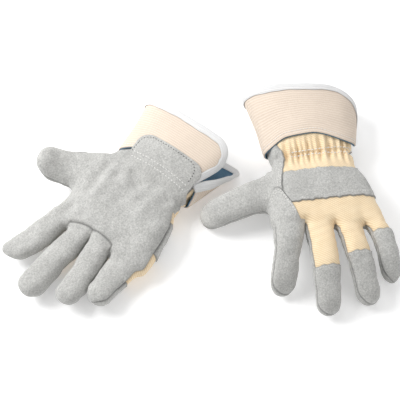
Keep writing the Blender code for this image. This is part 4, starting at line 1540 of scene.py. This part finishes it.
def build_stitches(glove, skin, cuff, tongue, path):
    """Every row of stitches. Sizes are pitch, length and radius."""
    above = glove.back > 0
    surface, patch = Surface(skin.f["out"], skin.tris), Surface(*tongue)
    hand_rows, wrist_rows, cuff_rows = [], [], []

    def on_back(x, y, *sizes):
        return *surface.under(np.column_stack([x, y]), above), sizes

    # beside the back seam, and round the index knuckle
    for off in (-2.2, -4.8):
        xs = np.arange(WRIST_CUT_X + 2, 37, 0.8)
        hand_rows.append(on_back(xs, back_seam_y(xs) + off, 3.4, 2.2, 0.36))
    for off in (2.4, 4.8):
        ys = np.arange(-54, -27, 0.5)
        xs = root_edge_x(ys) + off * 1.35
        hand_rows.append(on_back(xs[xs < 70], ys[xs < 70], 3.4, 2.2, 0.36))
    # two rows over the elastic
    for x in (-3.6, 0.4):
        centre, width, height, half, n = (float(v) for v in glove.hand_section(np.array(x)))
        turn = np.radians(np.arange(-18, 114, 1.2))
        y = centre + (width + 2) * signed_power(np.cos(turn), 2 / n)
        z = height + glove.back * (half + 2) * signed_power(np.sin(turn), 2 / n)
        rough = np.column_stack([np.full(len(turn), x), y, z])
        wrist_rows.append((*surface.onto(rough), (3.9, 2.7, 0.55)))
    # across the palm's tongue, and round its edge
    for x in (-15.5, -10.5):
        xy = line((x, -27), (x - 1, 9), (x, 41))
        wrist_rows.append((*patch.under(xy, not above), (3.7, 2.1, 0.42)))
    edge = np.concatenate([
        line((-14, -28.5), (-27, -28.5)),
        quarter_turn(-26.5, -16.5, lambda t: -12 * np.sin(t), lambda t: -12 * np.cos(t)),
        line((-38.5, -16), (-38.5, 29)),
        quarter_turn(-27.5, 29.5, lambda t: -11 * np.cos(t), lambda t: 11 * np.sin(t)),
        line((-27, 40.8), (-18, 41)),
    ])
    edge_rows = [(*patch.under(edge, not above, 0.12), (3.3, 1.7, 0.5))]
    # along the cuff's lower edge, and along the tape
    run = np.arange(9, float(cuff.length(-26.0)) - 9, 1.0)
    cuff_rows.append((*cuff.at(-26.2, run, 0.05), (3.2, 2.3, 0.34)))
    x, around, in_x, in_run = path.T
    cuff_rows.append((*cuff.at(x + in_x * 5.6, around + in_run * 5.6, 1.0), (3.0, 2.0, 0.26)))
    # along the strap's edges
    ys = np.arange(-24, 46, 0.8)
    for x0, sign in ((STRAP_X[0], 1), (STRAP_X[1], -1)):
        hand_rows.append(on_back(x0 + sign * (2.2 - strap_waves(ys)), ys, 3.0, 1.5, 0.24))
    for name, rows, cloth, move, slot in (
        ("hand", hand_rows, "pale_thread", ride_hand, "white_tape"),
        ("wrist", wrist_rows, "white_thread", wrist_blend, "white_tape"),
        ("tongue", edge_rows, "grey_thread", wrist_blend, "grey_leather"),
        ("cuff", cuff_rows, "white_thread", ride_cuff, "white_tape"),
    ):
        done(move(glove, stitches(glove, f"{glove.side}_{name}_stitches", rows, cloth)), slot)
    # across the fingertips' caps
    for name, length in FABRIC_LENGTH.items():
        digit = glove.digits[name]
        along = np.full(40, length + 2.4)
        width, _, shift, _ = digit.section(along)
        spots = digit.plan(along, shift + np.linspace(-0.78, 0.78, 40) * width)
        row = on_back(*spots.T, 2.8, 1.5, 0.24)
        piece = stitches(glove, f"{glove.side}_{name}_stitches", [row], "pale_thread")
        done(finger_blend(glove, piece, name), "white_tape")


# ---------------------------------------------------------------- the room


FLOOR_HALF = 4.0  # metres
FLOOR_GLOW, SKY_STRENGTH = 0.22, 0.46  # a pale paper sweep under even light
VIEW_ANGLE, VIEW_DISTANCE = math.radians(62), 1.016


def build_room():
    """A plain pale floor, three soft lamps (metres and watts) and an even white sky."""
    floor = bpy.data.meshes.new("floor")
    corners = [(x * FLOOR_HALF, y * FLOOR_HALF, 0) for x, y in ((-1, -1), (1, -1), (1, 1), (-1, 1))]
    floor.from_pydata(corners, [], [(0, 1, 2, 3)])
    paper = bpy.data.materials.new("floor")
    paper.use_nodes = True
    shader = paper.node_tree.nodes["Principled BSDF"]
    for key, value in (
        ("Base Color", (0.93, 0.93, 0.93, 1)),
        ("Roughness", 0.95),
        ("Specular IOR Level", 0.0),
        ("Emission Color", (1, 1, 1, 1)),
        ("Emission Strength", FLOOR_GLOW),
    ):
        shader.inputs[key].default_value = value
    floor.materials.append(paper)
    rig.stage(put_in_scene("floor", floor))

    world = bpy.data.worlds.new("studio")
    world.use_nodes = True
    sky = world.node_tree.nodes["Background"]
    sky.inputs[0].default_value = (1, 1, 1, 1)
    sky.inputs[1].default_value = SKY_STRENGTH
    bpy.context.scene.world = world
    for name, place, size, power in (
        ("key", (-0.8, 0.25, 0.8), 0.6, 12.0),
        ("fill", (0.8, -0.5, 0.8), 0.9, 2.2),
        ("top", (0.05, 0.7, 1.0), 0.8, 3.0),
    ):
        lamp = bpy.data.lights.new(name, "AREA")
        lamp.size = size
        lamp.energy = power
        obj = put_in_scene(name, lamp)
        obj.location = place
        obj.rotation_euler = (-Vector(place)).to_track_quat("-Z", "Y").to_euler()


def build_camera():
    lens = bpy.data.cameras.new("camera")
    lens.lens = 85
    lens.sensor_width = 36
    obj = put_in_scene("camera", lens)
    aim = Vector((-0.0026, 0.0077, 0))
    back = Vector((0, -math.cos(VIEW_ANGLE), math.sin(VIEW_ANGLE)))
    obj.location = aim + back * VIEW_DISTANCE
    obj.rotation_euler = (-back).to_track_quat("-Z", "Y").to_euler()
    bpy.context.scene.camera = obj


bpy.context.scene.view_settings.view_transform = "Standard"
build_room()
build_camera()
for side in GLOVES:
    build_glove(side)

with open("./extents.json", "w") as out:
    json.dump({"cad": [list(v) for v in CAD_BOX], "visual": [list(v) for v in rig.bounds()]}, out)
